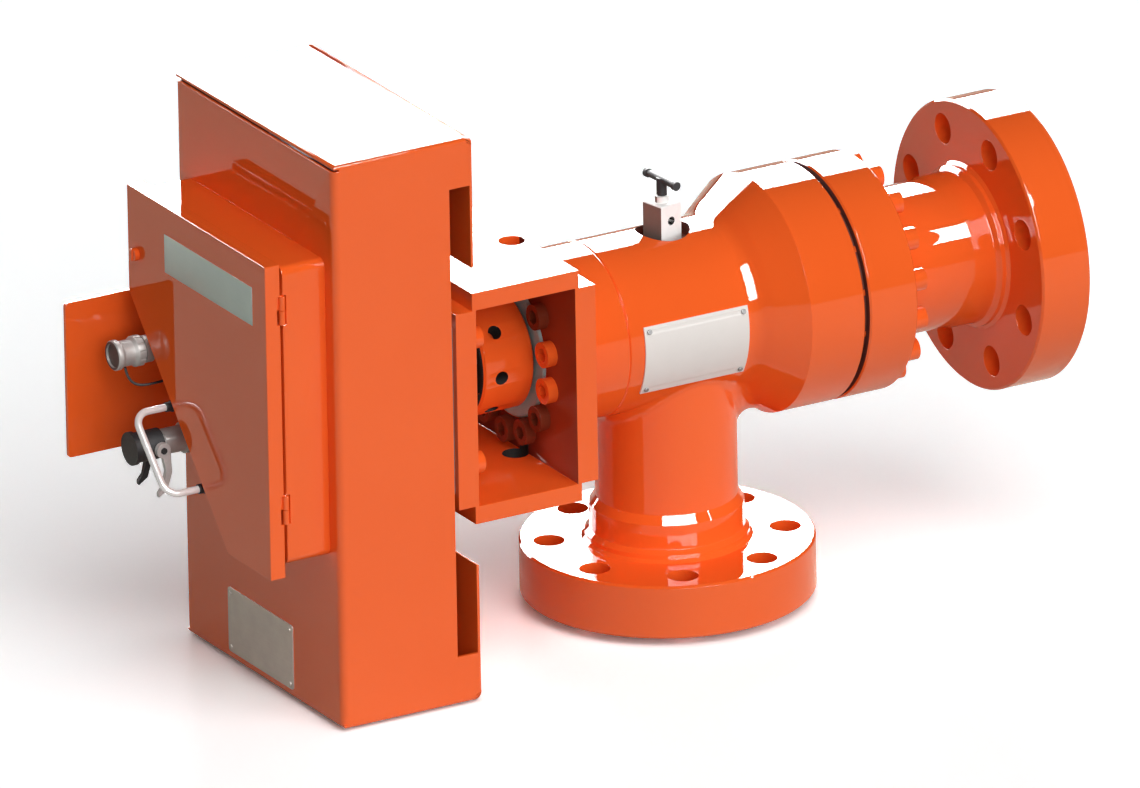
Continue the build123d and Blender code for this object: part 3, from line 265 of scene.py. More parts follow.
class Effect:
    """Node group that turns two tones into the colour, roughness and relief of a surface."""

    noise_reach: Pair = (0.3, 0.7)
    coat_roughness: Pair = (0.26, 0.38)
    cloud: Noise = Noise(scale=26.0, detail=5.0, rough=0.6)
    peel: Noise = Noise(scale=420.0, detail=1.0)

    def __init__(self, name: str, *values: str) -> None:
        """Makes the group with its sockets.

        Args:
            name: name of the group.
            values: number sockets that it has besides the two tones.
        """
        self.group = bpy.data.node_groups.new(name, "ShaderNodeTree")
        sockets = [(label, "INPUT", "NodeSocketColor") for label in ("Colour", "Deep colour")]
        sockets += [(label, "INPUT", "NodeSocketFloat") for label in values]
        sockets += [("Colour", "OUTPUT", "NodeSocketColor")]
        sockets += [(label, "OUTPUT", "NodeSocketFloat") for label in ("Roughness", "Height")]
        for label, side, kind in sockets:
            self.group.interface.new_socket(label, in_out=side, socket_type=kind)
        self.board = Board(self.group)
        self.given = self.board.add("NodeGroupInput").outputs
        self.made = self.board.add("NodeGroupOutput").inputs
        self.where = self.board.add("ShaderNodeTexCoord").outputs["Object"]

    def split(self) -> tuple[Socket, ...]:
        """The X, Y and Z of the object's coordinates."""
        node = self.board.add("ShaderNodeSeparateXYZ")
        self.board.join(self.where, node.inputs["Vector"])
        return tuple(node.outputs)

    def tones(self, share: Socket) -> None:
        """Mixes the colour from the two tones.

        Args:
            share: share of the deep tone.
        """
        colour = self.board.mix(share, self.given["Colour"], self.given["Deep colour"])
        self.board.join(colour, self.made["Colour"])

    def surface(self, roughness: Socket, height: Socket) -> None:
        """Sets the roughness and the relief."""
        self.board.join(roughness, self.made["Roughness"])
        self.board.join(height, self.made["Height"])

    def spray(self) -> None:
        """Sets the cloudy sheen and the orange peel of a sprayed coat."""
        cloud = self.board.noise(self.where, self.cloud)
        sheen = self.board.spread(cloud, self.noise_reach, self.coat_roughness)
        self.surface(sheen, self.board.noise(self.where, self.peel))


def sprayed_film() -> Tree:
    """Colour drift and orange peel of a sprayed coat."""
    effect = Effect("sprayed_film")
    drift = effect.board.noise(effect.where, Noise(scale=7.0, detail=2.0))
    effect.tones(effect.board.spread(drift, reach=(0.35, 0.65), to=(0.0, 0.5)))
    effect.spray()
    return effect.group


def painted_depth_shade() -> Tree:
    """Sprayed coat with painted shade that darkens from one place along Y to another, as shade
    deepens in a recess.
    """
    blur_depth = 0.01
    effect = Effect("painted_depth_shade", "From", "To")
    board = effect.board
    blur = board.maths("SUBTRACT", board.noise(effect.where, Noise(scale=60.0, detail=2.0)), 0.5)
    depth = board.maths("ADD", effect.split()[1], board.maths("MULTIPLY", blur, blur_depth))
    share = board.add("ShaderNodeMapRange", interpolation_type="SMOOTHSTEP")
    board.join(depth, share.inputs["Value"])
    board.join(effect.given["From"], share.inputs["From Min"])
    board.join(effect.given["To"], share.inputs["From Max"])
    effect.tones(share.outputs["Result"])
    effect.spray()
    return effect.group


def lathe_marks() -> Tree:
    """Fine rings about the pipe axis, as a lathe leaves them, and a slow change of tone."""
    effect = Effect("lathe_marks")
    board = effect.board
    along, across, height = effect.split()
    up = board.maths("SUBTRACT", height, PIPE_Z)
    squares = board.maths("ADD", board.maths("POWER", across, 2.0), board.maths("POWER", up, 2.0))
    rings = board.add("ShaderNodeCombineXYZ")
    board.join(along, rings.inputs["X"])
    board.join(board.maths("SQRT", squares), rings.inputs["Y"])
    marks = board.noise(rings.outputs["Vector"], Noise(scale=1500.0, detail=2.0))
    tone = board.noise(effect.where, Noise(scale=40.0, detail=4.0))
    effect.tones(board.spread(tone, effect.noise_reach, to=(0.0, 0.6)))
    effect.surface(board.spread(marks, effect.noise_reach, to=(0.22, 0.36)), marks)
    return effect.group


def cast_grain() -> Tree:
    """Pebbled skin of sand-cast iron, blasted plate or moulded plastic."""
    pebble_share = 0.5
    effect = Effect("cast_grain", "Grain", "Base")
    board = effect.board
    cells = board.add("ShaderNodeTexVoronoi")
    board.join(effect.where, cells.inputs["Vector"])
    board.join(effect.given["Grain"], cells.inputs["Scale"])
    pebbles = board.maths("MULTIPLY", cells.outputs["Distance"], pebble_share)
    sand = board.noise(effect.where, Noise(scale=300.0, detail=4.0, rough=0.7))
    lumps = board.maths("ADD", sand, pebbles)
    tone = board.noise(effect.where, Noise(scale=60.0, detail=5.0, rough=0.7))
    effect.tones(board.spread(tone, effect.noise_reach, to=(0.0, 1.0)))
    change = board.spread(lumps, reach=(0.3, 0.9), to=(-0.06, 0.06))
    effect.surface(board.maths("ADD", change, effect.given["Base"]), lumps)
    return effect.group


def brushed_lines() -> Tree:
    """Fine parallel scratches along Y, as on a brushed sheet, with faint handling marks."""
    line_stretch = (1.0, 0.02, 1.0)
    effect = Effect("brushed_lines", "Base")
    board = effect.board
    stretch = board.add("ShaderNodeMapping")
    stretch.inputs["Scale"].default_value = line_stretch
    board.join(effect.where, stretch.inputs["Vector"])
    fine = Noise(scale=2200.0, detail=3.0, rough=0.6)
    lines = board.noise(stretch.outputs["Vector"], fine)
    cloud = board.noise(effect.where, Noise(scale=45.0, detail=4.0, rough=0.6))
    strength = board.spread(cloud, effect.noise_reach, to=(0.4, 1.0))
    effect.tones(board.maths("MULTIPLY", lines, strength))
    change = board.spread(cloud, effect.noise_reach, to=(-0.05, 0.08))
    effect.surface(board.maths("ADD", change, effect.given["Base"]), lines)
    return effect.group


class Skin(Enum):
    """Surface effects that a finish may use."""

    FILM = member(sprayed_film)
    SHADE_DEPTH = member(painted_depth_shade)
    LATHE = member(lathe_marks)
    GRAIN = member(cast_grain)
    BRUSHED = member(brushed_lines)


# Finishes


@dataclass(frozen=True)
class Finish:
    """One finish of the valve.

    Args:
        name: name of the material.
        colour: main colour, linear.
        deep: darker tone of it.
        skin: the surface effect.
        metal: metallic share.
        coat: weight of the clear coat.
        coat_rough: roughness of the clear coat.
        relief: depth of the surface's relief, in metres.
        extra: values of the effect's own sockets.
        specular: specular level.
        bump: strength of the relief.
    """

    name: str
    colour: Colour
    deep: Colour
    skin: Skin
    metal: float = 0.0
    coat: float = 0.0
    coat_rough: float = 0.04
    relief: float = 0.00002
    extra: Numbers = ()
    specular: float = 0.5
    bump: float = 0.6

    def make(self, groups: dict[Skin, Tree]) -> bpy.types.Material:
        """Builds the material.

        Args:
            groups: effects that are built already.

        Returns:
            The material.
        """
        material = bpy.data.materials.new(self.name)
        board = empty_board(material)
        out = board.add("ShaderNodeOutputMaterial")
        shader = board.add("ShaderNodeBsdfPrincipled")
        board.join(shader.outputs["BSDF"], out.inputs["Surface"])
        if self.skin not in groups:
            groups[self.skin] = self.skin.value()
        effect = board.add("ShaderNodeGroup", node_tree=groups[self.skin])
        board.feed(effect.inputs["Colour"], self.colour)
        board.feed(effect.inputs["Deep colour"], self.deep)
        for key, value in self.extra:
            effect.inputs[key].default_value = value
        board.join(effect.outputs["Colour"], shader.inputs["Base Color"])
        board.join(effect.outputs["Roughness"], shader.inputs["Roughness"])
        relief = board.add("ShaderNodeBump")
        relief.inputs["Strength"].default_value = self.bump
        relief.inputs["Distance"].default_value = self.relief
        board.join(effect.outputs["Height"], relief.inputs["Height"])
        board.join(relief.outputs["Normal"], shader.inputs["Normal"])
        shader.inputs["Metallic"].default_value = self.metal
        shader.inputs["Coat Weight"].default_value = self.coat
        shader.inputs["Coat Roughness"].default_value = self.coat_rough
        shader.inputs["Specular IOR Level"].default_value = self.specular
        return material


def grained(scale: float, base: float) -> Numbers:
    """Values of the cast grain's sockets: cells in a metre and mean roughness."""
    return (("Grain", scale), ("Base", base))


def brushed(base: float) -> Numbers:
    """Value of the brushed lines' socket: mean roughness."""
    return (("Base", base),)


ORANGE = Finish(
    "orange_gloss", (0.90, 0.124, 0.019), (0.86, 0.112, 0.016),
    Skin.FILM, coat=0.75, coat_rough=0.012, specular=0.0,
)
# Painted shade: the yoke's inner wall darkens with depth along Y, where light falls off inside the
# window.
YOKE_PAINTED_SHADE = Finish(
    "yoke_inside_painted_shade", (0.36, 0.052, 0.018), (0.13, 0.020, 0.009),
    Skin.SHADE_DEPTH, coat=0.2, extra=(("From", -0.085), ("To", -0.03)), specular=0.0,
)
# Painted shade for the bonnet screws deep in the yoke window, above and below the axis.
SCREW_PAINTED_SHADE = Finish(
    "screw_painted_shade", (0.20, 0.034, 0.014), (0.14, 0.025, 0.012),
    Skin.FILM, coat=0.2, coat_rough=0.1, specular=0.0,
)
SHADED = Finish(
    "unlit_recess", (0.16, 0.034, 0.018), (0.11, 0.022, 0.012),
    Skin.GRAIN, extra=grained(400.0, 0.7), specular=0.1,
)
# Painted shade, near black, inside holes, bores and the bleed valve's port.
PAINTED_HOLE_SHADE = Finish(
    "hole_painted_shade", (0.016, 0.012, 0.010), (0.009, 0.008, 0.007),
    Skin.GRAIN, extra=grained(400.0, 0.7), specular=0.1,
)
STEEL = Finish(
    "turned_steel", (0.56, 0.54, 0.51), (0.42, 0.40, 0.38),
    Skin.LATHE, metal=1.0, relief=0.00001,
)
PALE_STEEL = Finish(
    "phosphated_ring", (0.33, 0.50, 0.50), (0.27, 0.42, 0.42),
    Skin.LATHE, relief=0.00001, specular=0.05,
)
# The block's finish, lit copy; the faces that look away from the outlet get the shaded copy below.
BLOCK = Finish(
    "nickel_block", (0.95, 0.94, 0.92), (0.90, 0.89, 0.87),
    Skin.BRUSHED, extra=brushed(0.50), relief=0.00001, specular=0.1,
)
# Shaded copy of the block's finish: painted shade on the block's faces that look away from the
# outlet.
BLOCK_PAINTED_SHADE = Finish(
    "nickel_block_painted_shade", (0.27, 0.21, 0.18), (0.23, 0.185, 0.16),
    Skin.BRUSHED, extra=brushed(0.50), relief=0.00001, specular=0.1,
)
CARBIDE = Finish(
    "lapped_carbide", (0.30, 0.30, 0.32), (0.22, 0.22, 0.24),
    Skin.LATHE, metal=1.0, relief=0.000004,
)
RUBBER = Finish(
    "seal_rubber", (0.012, 0.012, 0.013), (0.02, 0.02, 0.02),
    Skin.GRAIN, extra=grained(900.0, 0.62),
)
CAST = Finish(
    "grey_casting", (0.20, 0.205, 0.21), (0.14, 0.145, 0.15),
    Skin.GRAIN, extra=grained(450.0, 0.5), relief=0.00015,
)
BRONZE = Finish("gear_bronze", (0.60, 0.36, 0.13), (0.46, 0.26, 0.09), Skin.LATHE, metal=1.0)
MOTOR = Finish(
    "motor_grey", (0.055, 0.058, 0.062), (0.04, 0.042, 0.046),
    Skin.GRAIN, extra=grained(700.0, 0.42), relief=0.00006,
)
PLASTIC = Finish(
    "dark_moulding", (0.030, 0.031, 0.034), (0.022, 0.023, 0.026),
    Skin.GRAIN, extra=grained(1100.0, 0.46),
)
ZINC = Finish(
    "zinc_plate", (0.66, 0.67, 0.66), (0.52, 0.53, 0.50),
    Skin.GRAIN, metal=1.0, extra=grained(120.0, 0.36), relief=0.00001,
)
POLISHED = Finish(
    "polished_bar", (0.96, 0.95, 0.94), (0.92, 0.91, 0.90),
    Skin.BRUSHED, metal=0.1, extra=brushed(0.16), relief=0.000004,
)
BLACK = Finish(
    "black_oxide", (0.030, 0.030, 0.032), (0.020, 0.020, 0.022),
    Skin.GRAIN, extra=grained(900.0, 0.50), specular=0.22,
)
CONNECTOR = Finish(
    "pale_plating", (0.46, 0.45, 0.43), (0.36, 0.35, 0.335),
    Skin.GRAIN, metal=0.15, extra=grained(800.0, 0.42), specular=0.25,
)
LEVER = Finish(
    "pale_lever", (0.66, 0.64, 0.62), (0.54, 0.52, 0.50),
    Skin.GRAIN, metal=0.1, extra=grained(800.0, 0.4), specular=0.3,
)
CONNECTOR_FACE = Finish(
    "socket_face", (0.14, 0.11, 0.10), (0.09, 0.075, 0.07),
    Skin.GRAIN, extra=grained(800.0, 0.5), specular=0.2,
)
PLATE = Finish(
    "satin_plate", (0.77, 0.735, 0.70), (0.71, 0.675, 0.635),
    Skin.BRUSHED, extra=brushed(0.44), relief=0.000006, specular=0.18,
)
RIVET = Finish(
    "dull_rivet", (0.22, 0.22, 0.22), (0.15, 0.15, 0.15),
    Skin.GRAIN, metal=0.3, extra=grained(600.0, 0.45), relief=0.00001,
)
GREY_PLATE = Finish(
    "etched_plate", (0.40, 0.365, 0.335), (0.30, 0.27, 0.245),
    Skin.BRUSHED, metal=0.6, extra=brushed(0.46), relief=0.000006,
)
LABEL = Finish(
    "bare_label", (0.46, 0.53, 0.49), (0.42, 0.49, 0.455),
    Skin.BRUSHED, metal=0.2, extra=brushed(0.5), relief=0.000004,
)


# Mesh work


def round_edges(
    form: Form, edges: list, radius: float, steps: int = EDGE_STEPS, clamp: bool = False
) -> None:
    """Rounds edges of a shape.

    Args:
        form: the shape.
        edges: its edges to round.
        radius: their radius, in metres.
        steps: facets of the rounding.
        clamp: whether a rounding stops where it meets another.
    """
    bmesh.ops.bevel(
        form, geom=edges, offset=radius, segments=steps, profile=0.5,
        affect="EDGES", material=-1, clamp_overlap=clamp,
    )


@dataclass(frozen=True)
class Bend:
    """Edges of a sheet that are rounded more than the rest.

    Args:
        radius: their radius, in metres.
        holds: test of an edge's two ends.
        sheet: thickness of the sheet, in metres.
        steps: facets of the rounding.
    """

    radius: float
    holds: Callable[[Vector, Vector], bool]
    sheet: float = 0.002
    steps: int = 5

    def fold(self, form: Form) -> None:
        """Rounds the edges, and keeps the top of the shape at its height.

        Args:
            form: the shape.
        """
        edges = [edge for edge in form.edges if self.holds(edge.verts[0].co, edge.verts[1].co)]
        top = max(vert.co.z for vert in form.verts)
        round_edges(form, edges, self.radius, self.steps)
        excess = max(vert.co.z for vert in form.verts) - top
        for vert in form.verts:
            if vert.co.z > top - self.sheet / 2:
                vert.co.z -= excess


@dataclass(frozen=True)
class Patch:
    """Further finish of a piece and the faces that wear it.

    Args:
        finish: the finish.
        holds: test of a face's centre and normal.
    """

    finish: Finish
    holds: Callable[[Vector, Vector], bool]


@dataclass(frozen=True)
class Axis:
    """Line that turned surfaces go round.

    Args:
        place: a point of the line, in metres.
        way: its direction, one metre long.
        facet: largest turn within one facet, in degrees.
        flat: share of the normal across the axis below which a face is a flat end.
    """

    place: Vector
    way: Vector
    facet: float = 7.0
    flat: float = 0.01

    def outward(self, place: Vector) -> Vector:
        """Direction from the axis to a place, at right angles to the axis."""
        out = place - self.place
        return (out - self.way * out.dot(self.way)).normalized()

    def normals(self, face: bmesh.types.BMFace) -> list[Vector]:
        """Exact normals of a turned surface.

        Args:
            face: a facet that may belong to such a surface.

        Returns:
            The surface's normal at each corner, or nothing if the facet doesn't go round
            the axis.
        """
        along = self.way * face.normal.dot(self.way)
        across = face.normal - along
        if across.length < self.flat:
            return [face.normal.copy() for _ in face.verts]
        rays = [self.outward(vert.co) for vert in face.verts]
        side = 1.0 if across.dot(rays[0]) > 0.0 else -1.0
        nearest = min(across.normalized().dot(ray) * side for ray in rays)
        if nearest < math.cos(math.radians(self.facet)):
            return []
        return [(along + ray * (side * across.length)).normalized() for ray in rays]


PIPE_AXIS = Axis(Vector((0.0, 0.0, PIPE_Z)), Vector((1.0, 0.0, 0.0)))
INLET_AXIS = Axis(Vector((0.0, 0.0, 0.0)), Vector((0.0, 0.0, 1.0)))


def turned_normals(form: Form, axes: tuple[Axis, ...]) -> list[Vector]:
    """Normals of all face corners, exact on turned surfaces and led by the large faces.

    Args:
        form: the shape.
        axes: axes of its turned surfaces.

    Returns:
        One normal for each face corner, in the order of the mesh.
    """
    own: dict[int, dict[int, Vector]] = {}
    area: dict[int, float] = {}
    for face in form.faces:
        tried = (axis.normals(face) for axis in axes)
        found = next((rays for rays in tried if rays), [face.normal] * len(face.verts))
        own[face.index] = {vert.index: ray for vert, ray in zip(face.verts, found)}
        area[face.index] = face.calc_area()
    limit = math.cos(math.radians(BLEND))
    made = []
    for face in form.faces:
        for vert in face.verts:
            total = Vector()
            for near in vert.link_faces:
                if near.normal.dot(face.normal) >= limit:
                    total += own[near.index][vert.index] * area[near.index] ** 2
            made.append(total.normalized() if total.length > 0.0 else face.normal.copy())
    return made


def round_turned(form: Form, axes: tuple[Axis, ...], radius: float, smooth: float) -> list[Vector]:
    """Rounds the sharp edges of a turned piece.

    Args:
        form: the shape.
        axes: axes of its turned surfaces.
        radius: radius of its edges, in metres.
        smooth: edges sharper than this angle, in degrees, are rounded.

    Returns:
        One normal for each face corner, in the order of the mesh.
    """
    limit = math.radians(smooth)
    inner = [edge for edge in form.edges if len(edge.link_faces) == 2]
    sharp = [edge for edge in inner if edge.calc_face_angle() > limit]
    round_edges(form, sharp, radius, clamp=True)
    form.normal_update()
    form.faces.index_update()
    form.verts.index_update()
    return turned_normals(form, axes)


def plate_form(low: Vector, high: Vector, radius: float) -> Form:
    """Makes a thin plate with rounded edges.

    Args:
        low: its lowest corner.
        high: its highest corner.
        radius: radius of its edges, in metres.

    Returns:
        The shape.
    """
    form = bmesh.new()
    size = high - low
    place = Matrix.Translation((low + high) / 2) @ Matrix.Diagonal((*size, 1.0))
    bmesh.ops.create_cube(form, size=1.0, matrix=place)
    round_edges(form, list(form.edges), radius)
    return form


class Maker:
    """Makes the finished pieces."""

    def __init__(self, cad: dict) -> None:
        """Takes the CAD nodes and what the record says of them.

        Args:
            cad: the loaded frame.
        """
        self.nodes = cad["nodes"]
        self.groups: dict[Skin, Tree] = {}
        self.made: dict[str, bpy.types.Material] = {}
        self.slots = {row["node"]: row["material_slot"] for row in cad["record"]["subparts"]}
        bodies = cad["record"]["behaviour"]["bodies"]
        self.bodies = {node: body for body, nodes in bodies.items() for node in nodes}

    def material(self, finish: Finish) -> bpy.types.Material:
        """The material of a finish, built on its first use."""
        if finish.name not in self.made:
            self.made[finish.name] = finish.make(self.groups)
        return self.made[finish.name]

    def paint(self, finish: Finish, *nodes: str) -> None:
        """Gives CAD nodes a finish alone.

        Args:
            finish: the finish.
            nodes: the CAD nodes.
        """
        for node in nodes:
            data = self.nodes[node].data
            data.materials.clear()
            data.materials.append(self.material(finish))
            log.info("node %s: %s", node, finish.name)

    def piece(
        self,
        name: str,
        form: Form,
        finish: Finish,
        body: str,
        smooth: float = 35.0,
    ) -> bpy.types.Object:
        """Turns a bmesh into a finished piece that rides on a body.

        Args:
            name: name of the piece.
            form: its shape, in metres in the frame of the model. It is freed.
            finish: its finish.
            body: CAD body that it moves with.
            smooth: edges sharper than this angle, in degrees, stay sharp.

        Returns:
            The new object.
        """
        mesh = bpy.data.meshes.new(name)
        form.to_mesh(mesh)
        form.free()
        mesh.shade_smooth()
        mesh.set_sharp_from_angle(angle=math.radians(smooth))
        mesh.materials.append(self.material(finish))
        made = add_object(name, mesh)
        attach(made, body)
        log.info("piece %s: %s on %s", name, finish.name, body)
        return made

    def dress(
        self,
        node: str,
        finish: Finish,
        rounding: float = 0.0,
        smooth: float = 32.0,
        patches: tuple[Patch, ...] = (),
        bend: Bend | None = None,
        turned: tuple[Axis, ...] = (),
    ) -> None:
        """Stands a merged copy with rounded edges in for a CAD node.

        Args:
            node: the CAD node.
            finish: finish of the copy.
            rounding: radius of its edges, in metres.
            smooth: edges sharper than this angle, in degrees, are rounded.
            patches: further finishes, and the tests of the faces that wear them.
            bend: the sheet's bent edges.
            turned: axes of its turned surfaces, which are shaded exactly.
        """
        form = bmesh.new()
        form.from_mesh(self.nodes[node].data)
        bmesh.ops.remove_doubles(form, verts=form.verts, dist=MERGE)
        bmesh.ops.dissolve_limit(
            form, angle_limit=math.radians(FLATNESS), verts=form.verts, edges=form.edges
        )
        if bend:
            bend.fold(form)
        form.normal_update()
        for face in form.faces:
            for number, patch in enumerate(patches, 1):
                if patch.holds(face.calc_center_median(), face.normal):
                    face.material_index = number
        normals = round_turned(form, turned, rounding, smooth) if turned else []
        body, slot = self.bodies[node], self.slots[node]
        made = self.piece(node + "_finished", form, finish, body, smooth)
        for patch in patches:
            made.data.materials.append(self.material(patch.finish))
        if turned:
            made.data.normals_split_custom_set(normals)
        elif rounding > 0.0:
            bevel = made.modifiers.new("edges", "BEVEL")
            bevel.width = rounding
            bevel.segments = EDGE_STEPS
            bevel.limit_method = "ANGLE"
            bevel.angle_limit = math.radians(smooth)
            bevel.harden_normals = True
        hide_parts(node)

    def dress_all(self, finish: Finish, rounding: float, *nodes: str) -> None:
        """Dresses nodes that need nothing but a finish and a rounding.

        Args:
            finish: finish of the copies.
            rounding: radius of their edges, in metres.
            nodes: the CAD nodes.
        """
        for node in nodes:
            self.dress(node, finish, rounding)


# Sub-assemblies


def pipe_radius(place: Vector) -> float:
    """Distance of a place from the pipe axis."""
    return math.hypot(place.y, place.z - PIPE_Z)


@dataclass
class PressureBody:
    """Body, bonnet, spool and their screws, with everything sealed inside them.

    Args:
        edge: radius of the large pieces' edges.
        smooth: edges of the body sharper than this, in degrees, are rounded.
        groove: ends of the groove before the spool.
        groove_r: radius that takes in the groove.
        recess_r: radius that takes in the recess round the bleed valve.
        recess_z: height over which that recess lies.
        dim_from: distance over or under the axis from which the bonnet's screws get painted shade.
        bore_r: radius that takes in a bore.
        raised: height that takes in a raised face.
        outlet_x: place of the outlet's end.
    """

    edge: float = 0.0008
    smooth: float = 26.0
    groove: Pair = (0.1465, 0.1525)
    groove_r: float = 0.1095
    recess_r: float = 0.0255
    recess_z: float = 0.33
    dim_from: float = 0.033
    bore_r: float = 0.0396
    raised: float = 0.0072
    outlet_x: float = 0.377

    def in_shade(self, centre: Vector, normal: Vector) -> bool:
        """Whether a face lies in the groove before the spool or round the bleed valve."""
        near, far = self.groove
        in_groove = near < centre.x < far and pipe_radius(centre) < self.groove_r
        in_recess = centre.z > self.recess_z and math.hypot(centre.x, centre.y) < self.recess_r
        return in_groove or in_recess

    def is_machined(self, centre: Vector, normal: Vector) -> bool:
        """Whether a face lies in a bore or on the raised face of a flange, which stay bare."""
        in_outlet = pipe_radius(centre) < self.bore_r and abs(normal.x) < WALL
        about = math.hypot(centre.x, centre.y)
        in_inlet = about < self.bore_r and abs(normal.z) < WALL and centre.z < PIPE_Z - self.bore_r
        on_face = centre.x > self.outlet_x - self.raised or centre.z < self.raised
        return in_outlet or in_inlet or on_face

    def is_dim(self, centre: Vector, normal: Vector) -> bool:
        """Whether a face is on a bonnet screw well above or below the axis, where it gets painted
        shade.
        """
        return abs(centre.z - PIPE_Z) > self.dim_from

    def build(self, maker: Maker) -> None:
        """Dresses the pressure-holding pieces."""
        both, pipe = (PIPE_AXIS, INLET_AXIS), (PIPE_AXIS,)
        pair = (Patch(SHADED, self.in_shade), Patch(STEEL, self.is_machined))
        # Painted shade on the bonnet screws far from the axis.
        dim = (Patch(SCREW_PAINTED_SHADE, self.is_dim),)
        maker.dress("choke_body", ORANGE, self.edge, self.smooth, pair, turned=both)
        maker.dress("outlet_spool", ORANGE, self.edge, patches=pair, turned=pipe)
        maker.dress("bonnet", ORANGE, self.edge, turned=pipe)
        maker.dress("spool_screws", ORANGE, SCREW_EDGE)
        maker.dress("bonnet_screws", ORANGE, SCREW_EDGE, patches=dim)
        maker.dress_all(CARBIDE, PLATE_EDGE, "rotating_plate", "fixed_plate", "wear_sleeve")
        maker.dress("plate_carrier", STEEL, TURNED_EDGE)
        maker.paint(RUBBER, "chamber_seals", "stem_packing")
        maker.dress_all(STEEL, TURNED_EDGE, "choke_stem", "drive_fork")
        maker.paint(BRONZE, "thrust_washer")
        maker.dress("gland_retainer", PALE_STEEL, MOULDED_EDGE, turned=pipe)
        maker.dress("body_nameplate", PLATE, PLATE_EDGE)
        maker.dress("nameplate_rivets", RIVET, SMALL_EDGE)


@dataclass
class YokeAndDrive:
    """Welded yoke, coupling hub, gearbox and motor.

    Args:
        edge: radius of the yoke's edges.
        window: places along the pipe between which the screwed wall lies.
        hole: X, Y and radius of the hole in the yoke's floor.
        floor_z: height under which that hole lies.
        hub_r: radius of the hub.
        hub_skin: depth under the hub's surface at which its bores start.
        hub_end: cosine from which a face is an end of the hub.
        hub_out: most that the plane of a face in a bore is away from the axis.
    """

    edge: float = 0.0010
    window: Pair = (-0.180, -0.155)
    hole: Triple = (-0.170, -0.024, 0.0126)
    floor_z: float = 0.2
    hub_r: float = 0.055
    hub_skin: float = 0.0045
    hub_end: float = 0.98
    hub_out: float = 0.02

    def in_painted_shade_wall(self, centre: Vector, normal: Vector) -> bool:
        """Whether a face is the wall that the bonnet's screws pull against, which gets painted
        shade.
        """
        return normal.x < -FACING and self.window[0] < centre.x < self.window[1]

    def in_drain(self, centre: Vector, normal: Vector) -> bool:
        """Whether a face is the wall of the hole in the yoke's floor, which gets painted shade."""
        x, y, radius = self.hole
        in_hole = math.hypot(centre.x - x, centre.y - y) < radius
        return abs(normal.z) < WALL and centre.z < self.floor_z and in_hole

    def in_hub(self, centre: Vector, normal: Vector) -> bool:
        """Whether a face lies in a bore or a recess of the hub, which gets painted shade."""
        outward = normal.y * centre.y + normal.z * (centre.z - PIPE_Z)
        looks_in = normal.x < -WALL or abs(normal.x) < self.hub_end
        is_deep = pipe_radius(centre) < self.hub_r - self.hub_skin
        return is_deep and looks_in and outward <= self.hub_out

    def build(self, maker: Maker) -> None:
        """Dresses the yoke and the drive behind it."""
        # Painted shade on the window's inner wall and on the wall of the hole in the yoke's floor.
        inside = (Patch(YOKE_PAINTED_SHADE, self.in_painted_shade_wall), Patch(PAINTED_HOLE_SHADE, self.in_drain))
        # Painted shade in the hub's bores and recess.
        bores = (Patch(PAINTED_HOLE_SHADE, self.in_hub),)
        maker.dress("yoke_frame", ORANGE, self.edge, patches=inside)
        maker.dress("yoke_drive_screws", ORANGE, SCREW_EDGE)
        maker.dress("coupling_hub", ORANGE, MOULDED_EDGE, patches=bores)
        maker.dress("output_shaft", STEEL, TURNED_EDGE)
        maker.dress("worm_wheel", BRONZE)
        maker.dress("worm_shaft", STEEL)
        maker.dress_all(CAST, CAST_EDGE, "gear_housing", "gear_cover")
        maker.dress("motor_housing", MOTOR, MOULDED_EDGE)
        maker.paint(STEEL, "motor_rotor", "shaft_bearings", "worm_bearings")
        maker.dress("position_sensor", PLASTIC, MOULDED_EDGE)
        maker.dress("cabinet_standoffs", ZINC, TURNED_EDGE)


